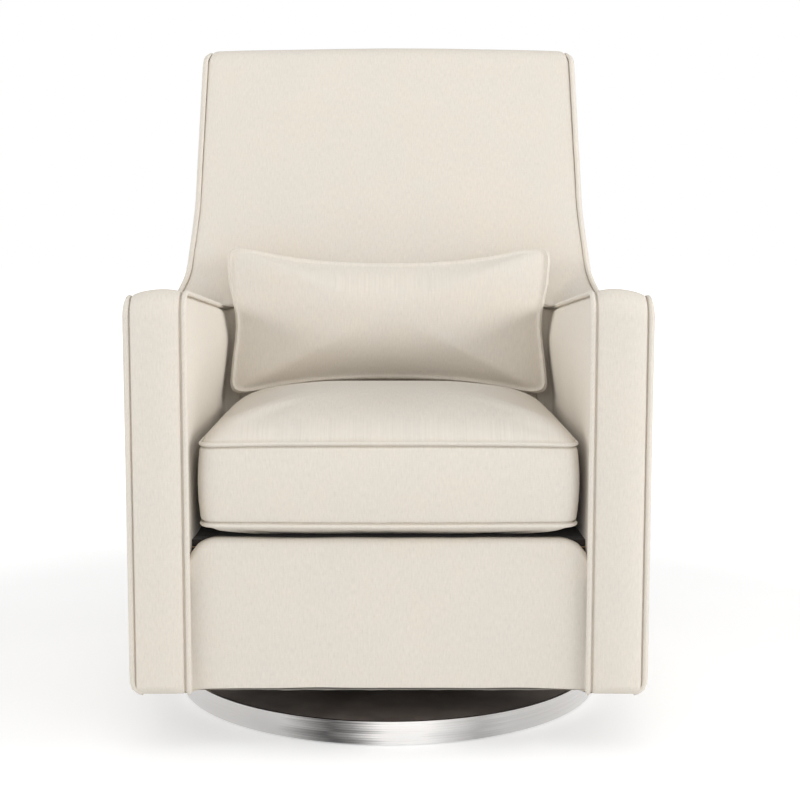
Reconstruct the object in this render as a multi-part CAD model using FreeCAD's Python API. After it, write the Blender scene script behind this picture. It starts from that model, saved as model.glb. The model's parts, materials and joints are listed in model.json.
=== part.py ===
import FreeCAD, Part
import math
import os
from FreeCAD import Vector

# Upholstered swivel rocker, in millimetres. +Z is up, the sitter faces -Y, +X is to the right
# of someone who looks along +Y. The origin is on the swivel axis, on the floor.

# Arms
body_depth = 743.5           # from the arm fronts to the top of the back, centred on the axis
arm_outer_x = 353.0          # outside face of an arm, from the middle plane
arm_inner_x = 275.3          # inside face of an arm
arm_inner_top_z = 639.0      # virtual front corner of the arm top, at its inside face
arm_outer_top_z = 633.0      # the same at its outside face, so the top leans outwards
arm_fall_deg = 5.06          # fall of the arm top towards the back
arm_nose_radius = 28.0       # turn from the arm's front to its top
arm_crown = 8.0              # how far the padded strip stands proud between its welts
arm_front_y = arm_crown - body_depth / 2
boxing_thickness = 12.0      # padded strip on the front and top of an arm
skin_thickness = 3.9         # backed cover panels, which is also the notch that a welt lies in
boxing_end_y = 4.0           # seam across the arm top, ahead of the sweep into the back
body_bottom_z = 86.0
body_corner_radius = 16.0    # lower outside corners, seen from the front

# Back
back_foot_y = 54.5           # face of the inside back where it meets the deck
back_recline_deg = 15.0
back_top_z = 1034.0
back_top_crown = 4.0         # the top is this much higher in the middle
back_pad_thickness = 35.0
back_crest_thickness = 20.0
back_crest_radius = 30.0     # roll from the front of the back over its top
back_top_corner_radius = 15.0
back_top_x = 313.7           # half width at the top
back_waist_x = 323.0         # half width where the sides start to flare
back_waist_z = 757.0
back_hip_x = 336.0           # half width near the arms
back_hip_z = 647.0
flare_foot_z = 605.0         # the flare has reached the arm's outside face here
flare_foot_radius = 60.0
flare_hip_radius = 100.0
flare_waist_radius = 400.0
crown_radius = 8000.0
sweep_inner_radius = 25.0    # turn from arm top to back, at the arm's inside face
sweep_outer_radius = 140.0   # the same at its outside face
rear_lean = 69.75            # the outside back leans out by this much from bottom to top
rear_top_y = body_depth / 2
rear_foot_y = rear_top_y - rear_lean

# Seat
deck_top_z = 295.0
deck_pad_thickness = 8.5
webbing_thickness = 1.5
webbing_width = 50.0
seat_webbing_count = 5
back_webbing_count = 6
apron_front_y = arm_front_y + 12.75
apron_thickness = 22.0
apron_top_z = 292.0
apron_roll_radius = 10.0
apron_end_radius = 25.0
soft_clearance = 0.3

# Hardwood and plywood frame
side_frame_thickness = 18.0
frame_inner_x = 288.0
frame_corner_radius = 10.0   # inner corner of the L, under the sweep
frame_bottom_lift = 4.0
lightening_hole_radius = 42.0
lightening_holes = ((-216.0, 405.0), (-76.0, 405.0), (64.0, 405.0), (228.0, 255.0), (214.0, 485.0),
                    (244.0, 685.0))
rail_thickness = 25.0
rail_depth = 90.0
cross_rail_width = 90.0
cross_rail_thickness = 22.0
cross_rail_y = 95.0          # centre of each cross rail, ahead of and behind the swivel axis
rear_rail_y = cross_rail_y + cross_rail_width / 2 + 2.0
corner_block_leg = 60.0
corner_block_inset = 8.0
post_depth = 22.0
back_rail_height = 60.0
back_rail_thickness = 22.0
lumbar_rail_z = 405.0
foot_rail_height = 40.0
dust_cover_z = 97.0
dust_cover_thickness = 1.5
dust_cover_opening_x = 170.0
dust_cover_opening_y = 160.0

# Seat cushion
cushion_half_width = 258.0
cushion_side_bulge = 8.0
cushion_front_y = arm_front_y + 4.75
cushion_front_bow = 5.0      # the front runs forwards in the middle by this much
cushion_front_radius = 6000.0
cushion_rear_gap = 6.0
cushion_corner_radius = 30.0
cushion_bottom_seam_z = 319.0
cushion_top_seam_z = 433.0
cushion_crown_z = 479.0
cushion_belly_z = 296.2
# Share of the depth from the front, and how full the crown is there
cushion_fullness = ((0.0, 0.05), (0.12, 0.55), (0.35, 0.92), (0.6, 1.0), (0.85, 0.7), (1.0, 0.3))
cushion_belly_lead = 0.3     # the underside is fuller than the crown by this share

# Lumbar pillow
pillow_half_width = 249.0
pillow_corner_height = 222.0
pillow_middle_height = 192.0
pillow_thickness = 116.0
pillow_edge_thickness = 9.0
pillow_foot_z = 465.0
pillow_gap = 0.3
pillow_stations = (-1.0, -0.8, 0.0, 0.8, 1.0)
pillow_dip_rate = 1.6        # how soon the long seams run in from the corners

# Welts
welt_radius = 3.2
welt_sink = 0.7              # depth of a welt's centre line below the two faces it joins

# Base
base_radius = 329.3
band_wall = 2.0
band_bottom_z = 1.5
band_top_z = 34.4
band_lip = 9.0
disc_bottom_z = 5.2
disc_top_z = 30.0
band_clearance = 0.3
glide_count = 8
glide_radius = 13.0
glide_taper = 2.0
glide_gap = 20.3             # between a glide and the band's lip
glide_circle_radius = base_radius - band_wall - band_lip - glide_gap - glide_radius

# Ball-bearing turntable
cradle_half_width = 110.0
plate_half_width = cradle_half_width + 15.0
plate_corner_radius = 20.0
plate_thickness = 3.0
race_circle_radius = 88.0
race_half_width = 10.0
race_height = 4.0
groove_depth = 2.0
ball_radius = 4.5
ball_count = 6
race_clearance = 0.3
cage_thickness = 1.6
cage_half_width = 8.0
rivet_radius = 12.0
rivet_head_radius = 18.0
rivet_head_height = 3.0
running_clearance = 0.08
turntable_bolt_offset = plate_half_width - 17.0
bolt_radius = 4.0
bolt_head_radius = 7.0
bolt_head_height = 5.0
bolt_hole_clearance = 0.2

# Rocker
rock_axis_z = 120.0
cradle_half_length = 130.0
steel_thickness = 3.0
cheek_foot_half = 90.0
cheek_boss_radius = 24.0
cheek_boss_round = 19.0
cradle_corner_radius = 10.0
cradle_bolt_y = 60.0
cradle_bolt_x = 80.0
pin_radius = 8.0
pin_head_radius = 12.0
pin_head_thickness = 3.0
washer_thickness = 5.0
washer_radius = 16.0
bush_wall = 3.0
bush_flange_thickness = 1.5
arm_plate_gap = 0.5
arm_boss_radius = 22.0
arm_boss_round = 13.0
arm_heel_round = 6.0
arm_waist_round = 20.0
arm_half_length = 135.0
arm_heel_z = 112.0           # lower edge of a rocker arm beyond its boss
arm_heel_start_y = 60.0
arm_flange_width = 34.0
flange_bolt_inset = 17.0
flange_bolt_spread = 25.0
rock_forward_deg = 6.0
rock_back_deg = 8.0
stop_y = 118.0
stop_radius = 9.0
stop_gap = 0.6               # left between a rubber stop and the rocker arm at the limit
spring_x = 62.0
spring_y = 98.0
spring_coil_radius = 20.0
spring_wire = 4.0
spring_turns = 5

sides = {"left": -1.0, "right": 1.0}

os.makedirs("parts", exist_ok=True)


# Plane geometry
def shifted_edge(start, end, inset):
    """Move an edge of a counter-clockwise outline towards its inside."""
    length = math.hypot(end[0] - start[0], end[1] - start[1])
    normal = (-(end[1] - start[1]) / length, (end[0] - start[0]) / length)
    move = (normal[0] * inset, normal[1] * inset)
    return (start[0] + move[0], start[1] + move[1]), (end[0] + move[0], end[1] + move[1])


def crossing(first, second):
    """Point where two straight lines meet."""
    (ax, ay), (bx, by) = first
    (cx, cy), (dx, dy) = second
    run = (bx - ax) * (dy - cy) - (by - ay) * (dx - cx)
    share = ((cx - ax) * (dy - cy) - (cy - ay) * (dx - cx)) / run
    return ax + (bx - ax) * share, ay + (by - ay) * share


def inset_outline(points, insets):
    """Corners of an outline whose edges are each moved inwards by their own amount."""
    count = len(points)
    edges = [shifted_edge(points[i], points[(i + 1) % count], insets[i]) for i in range(count)]
    return [crossing(edges[i - 1], edges[i]) for i in range(count)]


def rounded_wire(points, radii, place):
    """Closed wire of straight runs with an arc at each corner that has a radius."""
    count = len(points)
    starts, ends, middles = [], [], []
    for i in range(count):
        here = points[i]
        before, after = points[i - 1], points[(i + 1) % count]
        into = (before[0] - here[0], before[1] - here[1])
        out = (after[0] - here[0], after[1] - here[1])
        into_length, out_length = math.hypot(*into), math.hypot(*out)
        into = (into[0] / into_length, into[1] / into_length)
        out = (out[0] / out_length, out[1] / out_length)
        if radii[i] <= 0:
            starts.append(here)
            ends.append(here)
            middles.append(None)
            continue
        half = math.acos(max(-1.0, min(1.0, into[0] * out[0] + into[1] * out[1]))) / 2
        reach = radii[i] / math.tan(half)
        bisector = (into[0] + out[0], into[1] + out[1])
        size = math.hypot(*bisector)
        depth = radii[i] / math.sin(half) - radii[i]
        starts.append((here[0] + into[0] * reach, here[1] + into[1] * reach))
        ends.append((here[0] + out[0] * reach, here[1] + out[1] * reach))
        middles.append((here[0] + bisector[0] / size * depth, here[1] + bisector[1] / size * depth))
    edges = []
    for i in range(count):
        if middles[i] is not None:
            edges.append(Part.Arc(place(starts[i]), place(middles[i]), place(ends[i])).toShape())
        following = (i + 1) % count
        edges.append(Part.LineSegment(place(ends[i]), place(starts[following])).toShape())
    return Part.Wire(edges)


def on_x(x):
    """Place a (y, z) point on the plane at x."""
    return lambda point: Vector(x, point[0], point[1])


def on_y(y):
    """Place an (x, z) point on the plane at y."""
    return lambda point: Vector(point[0], y, point[1])


def on_z(z):
    """Place an (x, y) point on the plane at z."""
    return lambda point: Vector(point[0], point[1], z)


def extruded(wire, direction):
    return Part.Face(wire).extrude(direction)


def x_prism(points, radii, x_from, x_to):
    """Solid of a (y, z) outline between two planes of X."""
    return extruded(rounded_wire(points, radii, on_x(x_from)), Vector(x_to - x_from, 0, 0))


def z_prism(points, radii, z_from, z_to):
    """Solid of an (x, y) outline between two heights."""
    return extruded(rounded_wire(points, radii, on_z(z_from)), Vector(0, 0, z_to - z_from))


def block(x_from, x_to, y_from, y_to, z_from, z_to):
    corner = Vector(min(x_from, x_to), min(y_from, y_to), min(z_from, z_to))
    return Part.makeBox(abs(x_to - x_from), abs(y_to - y_from), abs(z_to - z_from), corner)


def cylinder(radius, z_from, z_to, x=0.0, y=0.0):
    return Part.makeCylinder(radius, z_to - z_from, Vector(x, y, z_from))


def x_cylinder(radius, x_from, x_to, y, z):
    start = Vector(min(x_from, x_to), y, z)
    return Part.makeCylinder(radius, abs(x_to - x_from), start, Vector(1, 0, 0))


def mirrored(shape, side):
    """The right-hand shape itself, or its mirror image for the left."""
    if side > 0:
        return shape
    return shape.mirror(Vector(0, 0, 0), Vector(1, 0, 0))


def export(shape, name):
    shape.exportStep("parts/" + name + ".step")


def export_group(shapes, name):
    export(Part.makeCompound(shapes), name)


# Outlines of the upholstered body
back_lean = math.tan(math.radians(back_recline_deg))
arm_fall = math.tan(math.radians(arm_fall_deg))


def back_face_y(z):
    return back_foot_y + back_lean * (z - deck_top_z)


def rear_face_y(z):
    share = (z - body_bottom_z) / (back_top_z - body_bottom_z)
    return rear_foot_y + (rear_top_y - rear_foot_y) * share


def across_arm(x):
    """0 at the arm's inside face, 1 at its outside face."""
    return (abs(x) - arm_inner_x) / (arm_outer_x - arm_inner_x)


def arm_top_z(x, y):
    front_z = arm_inner_top_z + (arm_outer_top_z - arm_inner_top_z) * across_arm(x)
    return front_z - arm_fall * (y - arm_front_y)


def sweep_radius(x):
    return sweep_inner_radius + (sweep_outer_radius - sweep_inner_radius) * across_arm(x)


def sweep_corner(x):
    """Point where the arm top's line meets the line of the back's face."""
    top = ((arm_front_y, arm_top_z(x, arm_front_y)), (boxing_end_y, arm_top_z(x, boxing_end_y)))
    face = ((back_foot_y, deck_top_z), (back_face_y(back_top_z), back_top_z))
    return crossing(top, face)


def side_outline(x, insets, inner_radius):
    """Rounded L-shaped outline of the body at x: insets for its bottom, rear, crest, back
    face, arm top and front, and the radius of its inner corner."""
    points = [(arm_front_y, body_bottom_z), (rear_foot_y, body_bottom_z), (rear_top_y, back_top_z),
              (back_face_y(back_top_z), back_top_z), sweep_corner(x),
              (arm_front_y, arm_top_z(x, arm_front_y))]
    radii = [0.0, 0.0, 0.0, max(back_crest_radius - insets[2], 1.0), inner_radius,
             max(arm_nose_radius - insets[4], 1.0)]
    return rounded_wire(inset_outline(points, insets), radii, on_x(x))


def side_slab(x_from, x_to, insets):
    """Ruled solid of the body's side outline between two planes of X, with the sweep."""
    wires = [side_outline(x, insets, sweep_radius(x) + insets[4]) for x in (x_from, x_to)]
    return Part.makeLoft(wires, True, True)


def front_outline(side_inset, top_inset):
    """Bell-shaped outline of the whole body, seen from the front."""
    right = [(arm_outer_x, body_bottom_z), (arm_outer_x, flare_foot_z), (back_hip_x, back_hip_z),
             (back_waist_x, back_waist_z), (back_top_x, back_top_z - back_top_crown)]
    left = [(-x, z) for x, z in reversed(right)]
    points = right + [(0.0, back_top_z)] + left
    half_insets = [side_inset] * 4
    insets = half_insets + [top_inset] * 2 + half_insets + [0.0]
    half_radii = [body_corner_radius, flare_foot_radius, flare_hip_radius, flare_waist_radius,
                  back_top_corner_radius]
    radii = half_radii + [crown_radius] + list(reversed(half_radii))
    return inset_outline(points, insets), radii


def bell(side_inset, top_inset):
    """The front outline as a solid that runs past the body's front and rear."""
    points, radii = front_outline(side_inset, top_inset)
    start_y = 2 * arm_front_y
    return extruded(rounded_wire(points, radii, on_y(start_y)), Vector(0, 2 * rear_top_y - start_y, 0))


def hull(side_inset):
    """The bell, widened ahead of the sweep, where the arms' outsides go straight up."""
    half = arm_outer_x - side_inset
    arms = block(-half, half, 2 * arm_front_y, boxing_end_y, deck_top_z, arm_outer_top_z)
    return bell(side_inset, 0.0).fuse(arms).removeSplitter()


inner_skin_x = arm_inner_x + skin_thickness
outer_skin_x = arm_outer_x - skin_thickness
frame_outer_x = frame_inner_x + side_frame_thickness
deck_bottom_z = deck_top_z - deck_pad_thickness
rail_top_z = deck_bottom_z - webbing_thickness
rail_bottom_z = rail_top_z - rail_depth
apron_rear_y = apron_front_y + apron_thickness
bell_inside = bell(skin_thickness, 0.0)


# Upholstery
def arm_outer_panel(side):
    """Cover on the outside of the arm and of the back above it, as one bent sheet."""
    edge = skin_thickness
    slab = side_slab(frame_inner_x, arm_outer_x + boxing_thickness, [0.0, edge, edge, edge, edge, edge])
    return mirrored(slab.common(hull(0.0)).cut(hull(edge)), side)


def boxing_outline(x, proud):
    """Strip profile up the arm's front and along its top, with its face pushed out."""
    foot = (arm_front_y - proud, body_bottom_z)
    inner_foot = (arm_front_y + boxing_thickness, body_bottom_z)
    nose_z = arm_top_z(x, arm_front_y - proud) + proud
    inner_nose = (inner_foot[0], arm_top_z(x, inner_foot[0]) - boxing_thickness)
    inner_end = (boxing_end_y, arm_top_z(x, boxing_end_y) - boxing_thickness)
    end = (boxing_end_y, arm_top_z(x, boxing_end_y))
    points = [foot, inner_foot, inner_nose, inner_end, end, (foot[0], nose_z)]
    radii = [0.0, 0.0, arm_nose_radius - boxing_thickness, 0.0, 0.0, arm_nose_radius + proud]
    return rounded_wire(points, radii, on_x(x))


def arm_boxing(side):
    middle_x = (inner_skin_x + outer_skin_x) / 2
    wires = [boxing_outline(inner_skin_x, 0.0), boxing_outline(middle_x, arm_crown),
             boxing_outline(outer_skin_x, 0.0)]
    strip = Part.makeLoft(wires, True, False)
    radius = body_corner_radius
    corner_x, corner_z = outer_skin_x - radius, body_bottom_z + radius
    trim = block(corner_x, outer_skin_x + radius, 2 * arm_front_y, boxing_end_y, 0.0, corner_z)
    round_corner = Part.makeCylinder(radius, boxing_end_y - 2 * arm_front_y,
                                     Vector(corner_x, 2 * arm_front_y, corner_z), Vector(0, 1, 0))
    return mirrored(strip.cut(trim.cut(round_corner)), side)


def arm_interior(x_from, x_to, front_inset, top_inset):
    """Slice of the arm between two planes of X, ended behind the face of the back and cut
    away below the deck, where the seat frame passes."""
    slab = side_slab(x_from, x_to, [0.0, 0.0, 0.0, 0.0, top_inset, front_inset])
    rear_limit = x_prism([(back_foot_y, deck_top_z), (rear_top_y, deck_top_z),
                          (rear_top_y, back_top_z), (back_face_y(back_top_z), back_top_z)],
                         [0.0] * 4, x_from, x_to)
    below = block(x_from, x_to, apron_rear_y, 2 * rear_top_y, 0.0, rail_top_z)
    behind = block(x_from, x_to, back_foot_y, 2 * rear_top_y, 0.0, deck_top_z)
    lining = boxing_thickness + soft_clearance
    under_ear = x_prism([(boxing_end_y, arm_top_z(x_to, boxing_end_y) - lining),
                         (rear_top_y, arm_top_z(x_to, rear_top_y) - lining),
                         (rear_top_y, back_top_z), (boxing_end_y, back_top_z)], [0.0] * 4, x_from, x_to)
    return slab.cut(rear_limit).cut(below).cut(behind).cut(under_ear)


def arm_welt(x, end_y):
    """Corded welt up the front of an arm and along its top, at one edge of the boxing."""
    front_y = arm_front_y + welt_sink
    nose = arm_nose_radius - welt_sink
    line_z = [arm_top_z(x, y) - welt_sink / math.cos(math.radians(arm_fall_deg))
              for y in (front_y, end_y)]
    turn = math.radians(90 - arm_fall_deg)
    reach = nose * math.tan(turn / 2)
    lift = (math.cos(math.radians(arm_fall_deg)), -math.sin(math.radians(arm_fall_deg)))
    start = Vector(x, front_y, line_z[0] - reach)
    end = Vector(x, front_y + lift[0] * reach, line_z[0] + lift[1] * reach)
    centre = Vector(x, front_y + nose, line_z[0] - reach)
    bulge = math.radians(180) - turn / 2
    middle = centre + Vector(0, nose * math.cos(bulge), nose * math.sin(bulge))
    foot = Vector(x, front_y, body_bottom_z)
    tail = Vector(x, end_y, line_z[1])
    path = Part.Wire([Part.LineSegment(foot, start).toShape(), Part.Arc(start, middle, end).toShape(),
                      Part.LineSegment(end, tail).toShape()])
    ring = Part.Wire(Part.makeCircle(welt_radius, foot, Vector(0, 0, 1)))
    return path.makePipeShell([ring], True, False)


def arm_welts(side):
    """Both welts of an arm. The outer one starts above the rounded lower corner."""
    inner_x, outer_x = arm_inner_x + welt_sink, arm_outer_x - welt_sink
    corner_top = body_bottom_z + body_corner_radius
    outer = arm_welt(outer_x, boxing_end_y)
    outer = outer.cut(block(outer_x - body_corner_radius, outer_x + body_corner_radius,
                            2 * arm_front_y, 0.0, 0.0, corner_top))
    return [mirrored(arm_welt(inner_x, boxing_end_y), side), mirrored(outer, side)]


def arm_inner_panel(side):
    return mirrored(arm_interior(arm_inner_x, inner_skin_x, skin_thickness, skin_thickness), side)


def arm_inner_foam(side):
    slab = arm_interior(inner_skin_x, frame_inner_x, boxing_thickness, boxing_thickness)
    return mirrored(slab, side)


def inside_back_lines():
    """Rear line of the padded inside back, and the corners of its crest."""
    under_crest_z = back_top_z - back_crest_thickness
    inner_face = [(back_face_y(z) + back_pad_thickness, z) for z in (deck_top_z, under_crest_z)]
    crest = [(rear_face_y(z) - skin_thickness, z) for z in (under_crest_z, back_top_z)]
    crest.append((back_face_y(back_top_z), back_top_z))
    return inner_face, crest


def inside_back_middle():
    """Pad between the arms, down to the deck and rolled over the crest."""
    inner_face, crest = inside_back_lines()
    foot_z = deck_top_z + soft_clearance
    points = [(back_face_y(foot_z), foot_z), (inner_face[0][0], foot_z), inner_face[1]] + crest
    radii = [0.0, 0.0, 0.0, 0.0, 0.0, back_crest_radius]
    half = arm_inner_x - soft_clearance
    return x_prism(points, radii, -half, half)


def inside_back_ear_wire(x):
    """Profile beside the arms, where the face sweeps forwards into the arm top."""
    inner_face, crest = inside_back_lines()
    corner = sweep_corner(x)
    top_line = ((boxing_end_y, arm_top_z(x, boxing_end_y) - boxing_thickness),
                (corner[0], corner[1] - boxing_thickness))
    inner_corner = crossing(top_line, tuple(inner_face))
    points = [top_line[0], inner_corner, inner_face[1]] + crest + [corner]
    points.append((boxing_end_y, arm_top_z(x, boxing_end_y)))
    radii = [0.0, frame_corner_radius, 0.0, 0.0, 0.0, back_crest_radius, sweep_radius(x), 0.0]
    return rounded_wire(points, radii, on_x(x))


def inside_back():
    pad = inside_back_middle()
    inner_x = arm_inner_x - soft_clearance
    for side in sides.values():
        wires = [inside_back_ear_wire(inner_x), inside_back_ear_wire(arm_outer_x)]
        pad = pad.fuse(mirrored(Part.makeLoft(wires, True, True), side))
    return pad.common(bell_inside).removeSplitter()


def outside_back():
    """Flat cover behind the frame, from the bottom of the body to the crest."""
    top_z = back_top_z - skin_thickness
    points = [(rear_foot_y - skin_thickness, body_bottom_z), (rear_foot_y, body_bottom_z),
              (rear_face_y(top_z), top_z), (rear_face_y(top_z) - skin_thickness, top_z)]
    return x_prism(points, [0.0] * 4, -arm_outer_x, arm_outer_x).common(bell_inside)


def apron():
    """Padded front panel under the cushion, with a rolled top that falls at both ends."""
    half = arm_inner_x - soft_clearance
    profile = [(apron_front_y, body_bottom_z), (apron_rear_y, body_bottom_z),
               (apron_rear_y, apron_top_z), (apron_front_y, apron_top_z)]
    slab = x_prism(profile, [0.0, 0.0, 0.0, apron_roll_radius], -half, half)
    face = [(-half, body_bottom_z), (half, body_bottom_z), (half, apron_top_z), (-half, apron_top_z)]
    wire = rounded_wire(face, [0.0, 0.0, apron_end_radius, apron_end_radius], on_y(2 * apron_front_y))
    return slab.common(extruded(wire, Vector(0, -2 * apron_front_y, 0)))


# Frame
def side_frame(side):
    """Plywood L-shaped side with round lightening holes."""
    front_inset = boxing_thickness + post_depth
    pad_inset = back_pad_thickness * math.cos(math.radians(back_recline_deg)) + soft_clearance
    insets = [frame_bottom_lift, skin_thickness, back_crest_thickness + soft_clearance, pad_inset,
              boxing_thickness + soft_clearance, front_inset]
    wires = [side_outline(x, insets, frame_corner_radius) for x in (frame_inner_x, frame_outer_x)]
    board = Part.makeLoft(wires, True, True)
    for y, z in lightening_holes:
        board = board.cut(x_cylinder(lightening_hole_radius, frame_inner_x, frame_outer_x, y, z))
    return mirrored(board.common(bell_inside), side)


def arm_front_post(side):
    """Upright behind the boxing, beside and ahead of the plywood."""
    front_y = arm_front_y + boxing_thickness
    rear_y = front_y + post_depth
    top_z = arm_top_z(outer_skin_x, rear_y) - boxing_thickness
    points = [(front_y, body_bottom_z + body_corner_radius), (rear_y, body_bottom_z + body_corner_radius),
              (rear_y, top_z), (front_y, top_z)]
    post = x_prism(points, [0.0, 0.0, 0.0, arm_nose_radius - boxing_thickness],
                   frame_inner_x, outer_skin_x - soft_clearance)
    return mirrored(post, side)


def seat_rail_front():
    return block(-frame_inner_x, frame_inner_x, apron_rear_y, apron_rear_y + rail_thickness,
                 rail_bottom_z, rail_top_z)


def seat_rail_rear():
    return block(-frame_inner_x, frame_inner_x, rear_rail_y, rear_rail_y + rail_thickness,
                 rail_bottom_z, rail_top_z)


side_rail_x = frame_inner_x - rail_thickness
side_rail_front_y = apron_rear_y + rail_thickness


def seat_rail_side(side):
    rail = block(side_rail_x, frame_inner_x, side_rail_front_y, rear_rail_y, rail_bottom_z, rail_top_z)
    return mirrored(rail, side)


def cross_rail(y, bolts):
    """Board between the side rails that a pair of rocker arms is bolted to."""
    rail = block(-side_rail_x, side_rail_x, y - cross_rail_width / 2, y + cross_rail_width / 2,
                 rail_bottom_z, rail_bottom_z + cross_rail_thickness)
    return rail.cut(Part.makeCompound(bolts))


def corner_blocks():
    blocks = []
    low, high = rail_bottom_z + cross_rail_thickness + corner_block_inset, rail_top_z - corner_block_inset
    for side in sides.values():
        for y, inward in ((side_rail_front_y, 1.0), (rear_rail_y, -1.0)):
            points = [(side_rail_x, y), (side_rail_x, y + inward * corner_block_leg),
                      (side_rail_x - corner_block_leg, y)]
            blocks.append(mirrored(z_prism(points, [0.0] * 3, low, high), side))
    return blocks


def seat_webbing():
    """Straps from the front rail to the rear rail."""
    straps = []
    pitch = 2 * side_rail_x / seat_webbing_count
    for i in range(seat_webbing_count):
        x = -side_rail_x + pitch * (i + 0.5)
        straps.append(block(x - webbing_width / 2, x + webbing_width / 2, apron_rear_y,
                            rear_rail_y + rail_thickness, rail_top_z, deck_bottom_z))
    return straps


def seat_deck():
    half = arm_inner_x - soft_clearance
    return block(-half, half, apron_rear_y, back_foot_y, deck_bottom_z, deck_top_z)


def back_board(z_from, z_to, front_offset, thickness, half):
    """Board across the back, parallel to its face."""
    points = [(back_face_y(z_from) + front_offset, z_from),
              (back_face_y(z_from) + front_offset + thickness, z_from),
              (back_face_y(z_to) + front_offset + thickness, z_to),
              (back_face_y(z_to) + front_offset, z_to)]
    return x_prism(points, [0.0] * 4, -half, half)


back_rail_top_z = back_top_z - back_crest_thickness


def back_rail_top():
    return back_board(back_rail_top_z - back_rail_height, back_rail_top_z, back_pad_thickness,
                      back_rail_thickness, frame_inner_x)


def back_rail_lumbar():
    return back_board(lumbar_rail_z, lumbar_rail_z + back_rail_height, back_pad_thickness,
                      back_rail_thickness, frame_inner_x)


def back_rail_foot():
    """Tacking rail for the outside back, between the side frames."""
    low = body_bottom_z + frame_bottom_lift
    high = low + foot_rail_height
    rear_low, rear_high = rear_face_y(low) - skin_thickness, rear_face_y(high) - skin_thickness
    points = [(rear_low - back_rail_thickness, low), (rear_low, low), (rear_high, high),
              (rear_high - back_rail_thickness, high)]
    return x_prism(points, [0.0] * 4, -frame_inner_x, frame_inner_x)


def back_webbing():
    """Straps across the back between the side frames, behind the pad."""
    straps = []
    low = lumbar_rail_z + back_rail_height
    high = back_rail_top_z - back_rail_height
    pitch = (high - low) / back_webbing_count
    for i in range(back_webbing_count):
        z = low + pitch * (i + 0.5)
        straps.append(back_board(z - webbing_width / 2, z + webbing_width / 2, back_pad_thickness,
                                 webbing_thickness, frame_inner_x))
    return straps


def dust_cover():
    """Thin cloth under the body, open round the mechanism."""
    high = dust_cover_z + dust_cover_thickness
    rear_y = rear_face_y(dust_cover_z) - skin_thickness - back_rail_thickness
    sheet = block(-frame_inner_x, frame_inner_x, apron_rear_y, rear_y, dust_cover_z, high)
    return sheet.cut(block(-dust_cover_opening_x, dust_cover_opening_x, -dust_cover_opening_y,
                           dust_cover_opening_y, 0.0, back_top_z))


# Loose cushions
def cushion_section(y, crown_z, belly_z):
    """Cross-section of the box cushion at y, through its two seams."""
    wide = cushion_half_width
    middle_z = (cushion_bottom_seam_z + cushion_top_seam_z) / 2
    place = on_y(y)
    corners = [(-wide, cushion_bottom_seam_z), (wide, cushion_bottom_seam_z),
               (wide, cushion_top_seam_z), (-wide, cushion_top_seam_z)]
    bulges = [(0.0, belly_z), (wide + cushion_side_bulge, middle_z), (0.0, crown_z),
              (-wide - cushion_side_bulge, middle_z)]
    edges = []
    for i in range(len(corners)):
        following = corners[(i + 1) % len(corners)]
        edges.append(Part.Arc(place(corners[i]), place(bulges[i]), place(following)).toShape())
    return Part.Wire(edges)


def seat_cushion():
    """Crowned box cushion between two seams, with rounded corners in plan."""
    rear_y = back_face_y(cushion_bottom_seam_z) - cushion_rear_gap
    length = rear_y - cushion_front_y
    crown = cushion_crown_z - cushion_top_seam_z
    belly = cushion_bottom_seam_z - cushion_belly_z
    sections = []
    for share, fullness in cushion_fullness:
        sections.append(cushion_section(cushion_front_y + length * share,
                                        cushion_top_seam_z + crown * fullness,
                                        cushion_bottom_seam_z
                                        - belly * min(1.0, fullness + cushion_belly_lead)))
    body = Part.makeLoft(sections, True, False)
    half = cushion_half_width + cushion_side_bulge + soft_clearance
    side_y = cushion_front_y + cushion_front_bow
    plan = [(-half, side_y), (0.0, cushion_front_y), (half, side_y), (half, rear_y), (-half, rear_y)]
    corner = cushion_corner_radius
    outline = z_prism(plan, [corner, cushion_front_radius, corner, corner, corner], 0.0, back_top_z)
    return body.common(outline)


def pillow_section(x, height, thickness):
    """Lens-shaped section at x, standing on z = 0 with its seams on y = 0."""
    place = on_x(x)
    middle = pillow_corner_height / 2
    low, high = middle - height / 2, middle + height / 2
    front = Part.Arc(place((0.0, low)), place((-thickness / 2, middle)), place((0.0, high)))
    rear = Part.Arc(place((0.0, high)), place((thickness / 2, middle)), place((0.0, low)))
    return Part.Wire([front.toShape(), rear.toShape()])


def lumbar_pillow():
    """Knife-edge pillow, drawn in between its corners, leaning on the back."""
    sections = []
    for share in pillow_stations:
        middle = 1.0 - share ** 2
        dip = (pillow_corner_height - pillow_middle_height) * min(1.0, middle * pillow_dip_rate)
        swell = pillow_edge_thickness + (pillow_thickness - pillow_edge_thickness) * middle ** 0.5
        sections.append(pillow_section(share * pillow_half_width, pillow_corner_height - dip, swell))
    pillow = Part.makeLoft(sections, True, False)
    pillow.rotate(Vector(0, 0, 0), Vector(1, 0, 0), -back_recline_deg)
    lean = math.radians(back_recline_deg)
    offset = (pillow_thickness / 2 + pillow_gap) / math.cos(lean)
    pillow.translate(Vector(0, back_face_y(pillow_foot_z) - offset, pillow_foot_z))
    return pillow


# Base and turntable
def base_band():
    """Brushed steel band with its edges turned in."""
    inner = base_radius - band_wall
    lip = inner - band_lip
    low, high = band_bottom_z, band_top_z
    points = [(lip, low), (base_radius, low), (base_radius, high), (inner - band_wall, high),
              (inner - band_wall, high - band_wall), (inner, high - band_wall), (inner, low + band_wall),
              (lip, low + band_wall)]
    face = Part.Face(rounded_wire(points, [0.0] * len(points), on_y(0.0)))
    return face.revolve(Vector(0, 0, 0), Vector(0, 0, 1), 360)


def turntable_bolt_places():
    offset = turntable_bolt_offset
    return [(x, y) for x in (-offset, offset) for y in (-offset, offset)]


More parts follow.
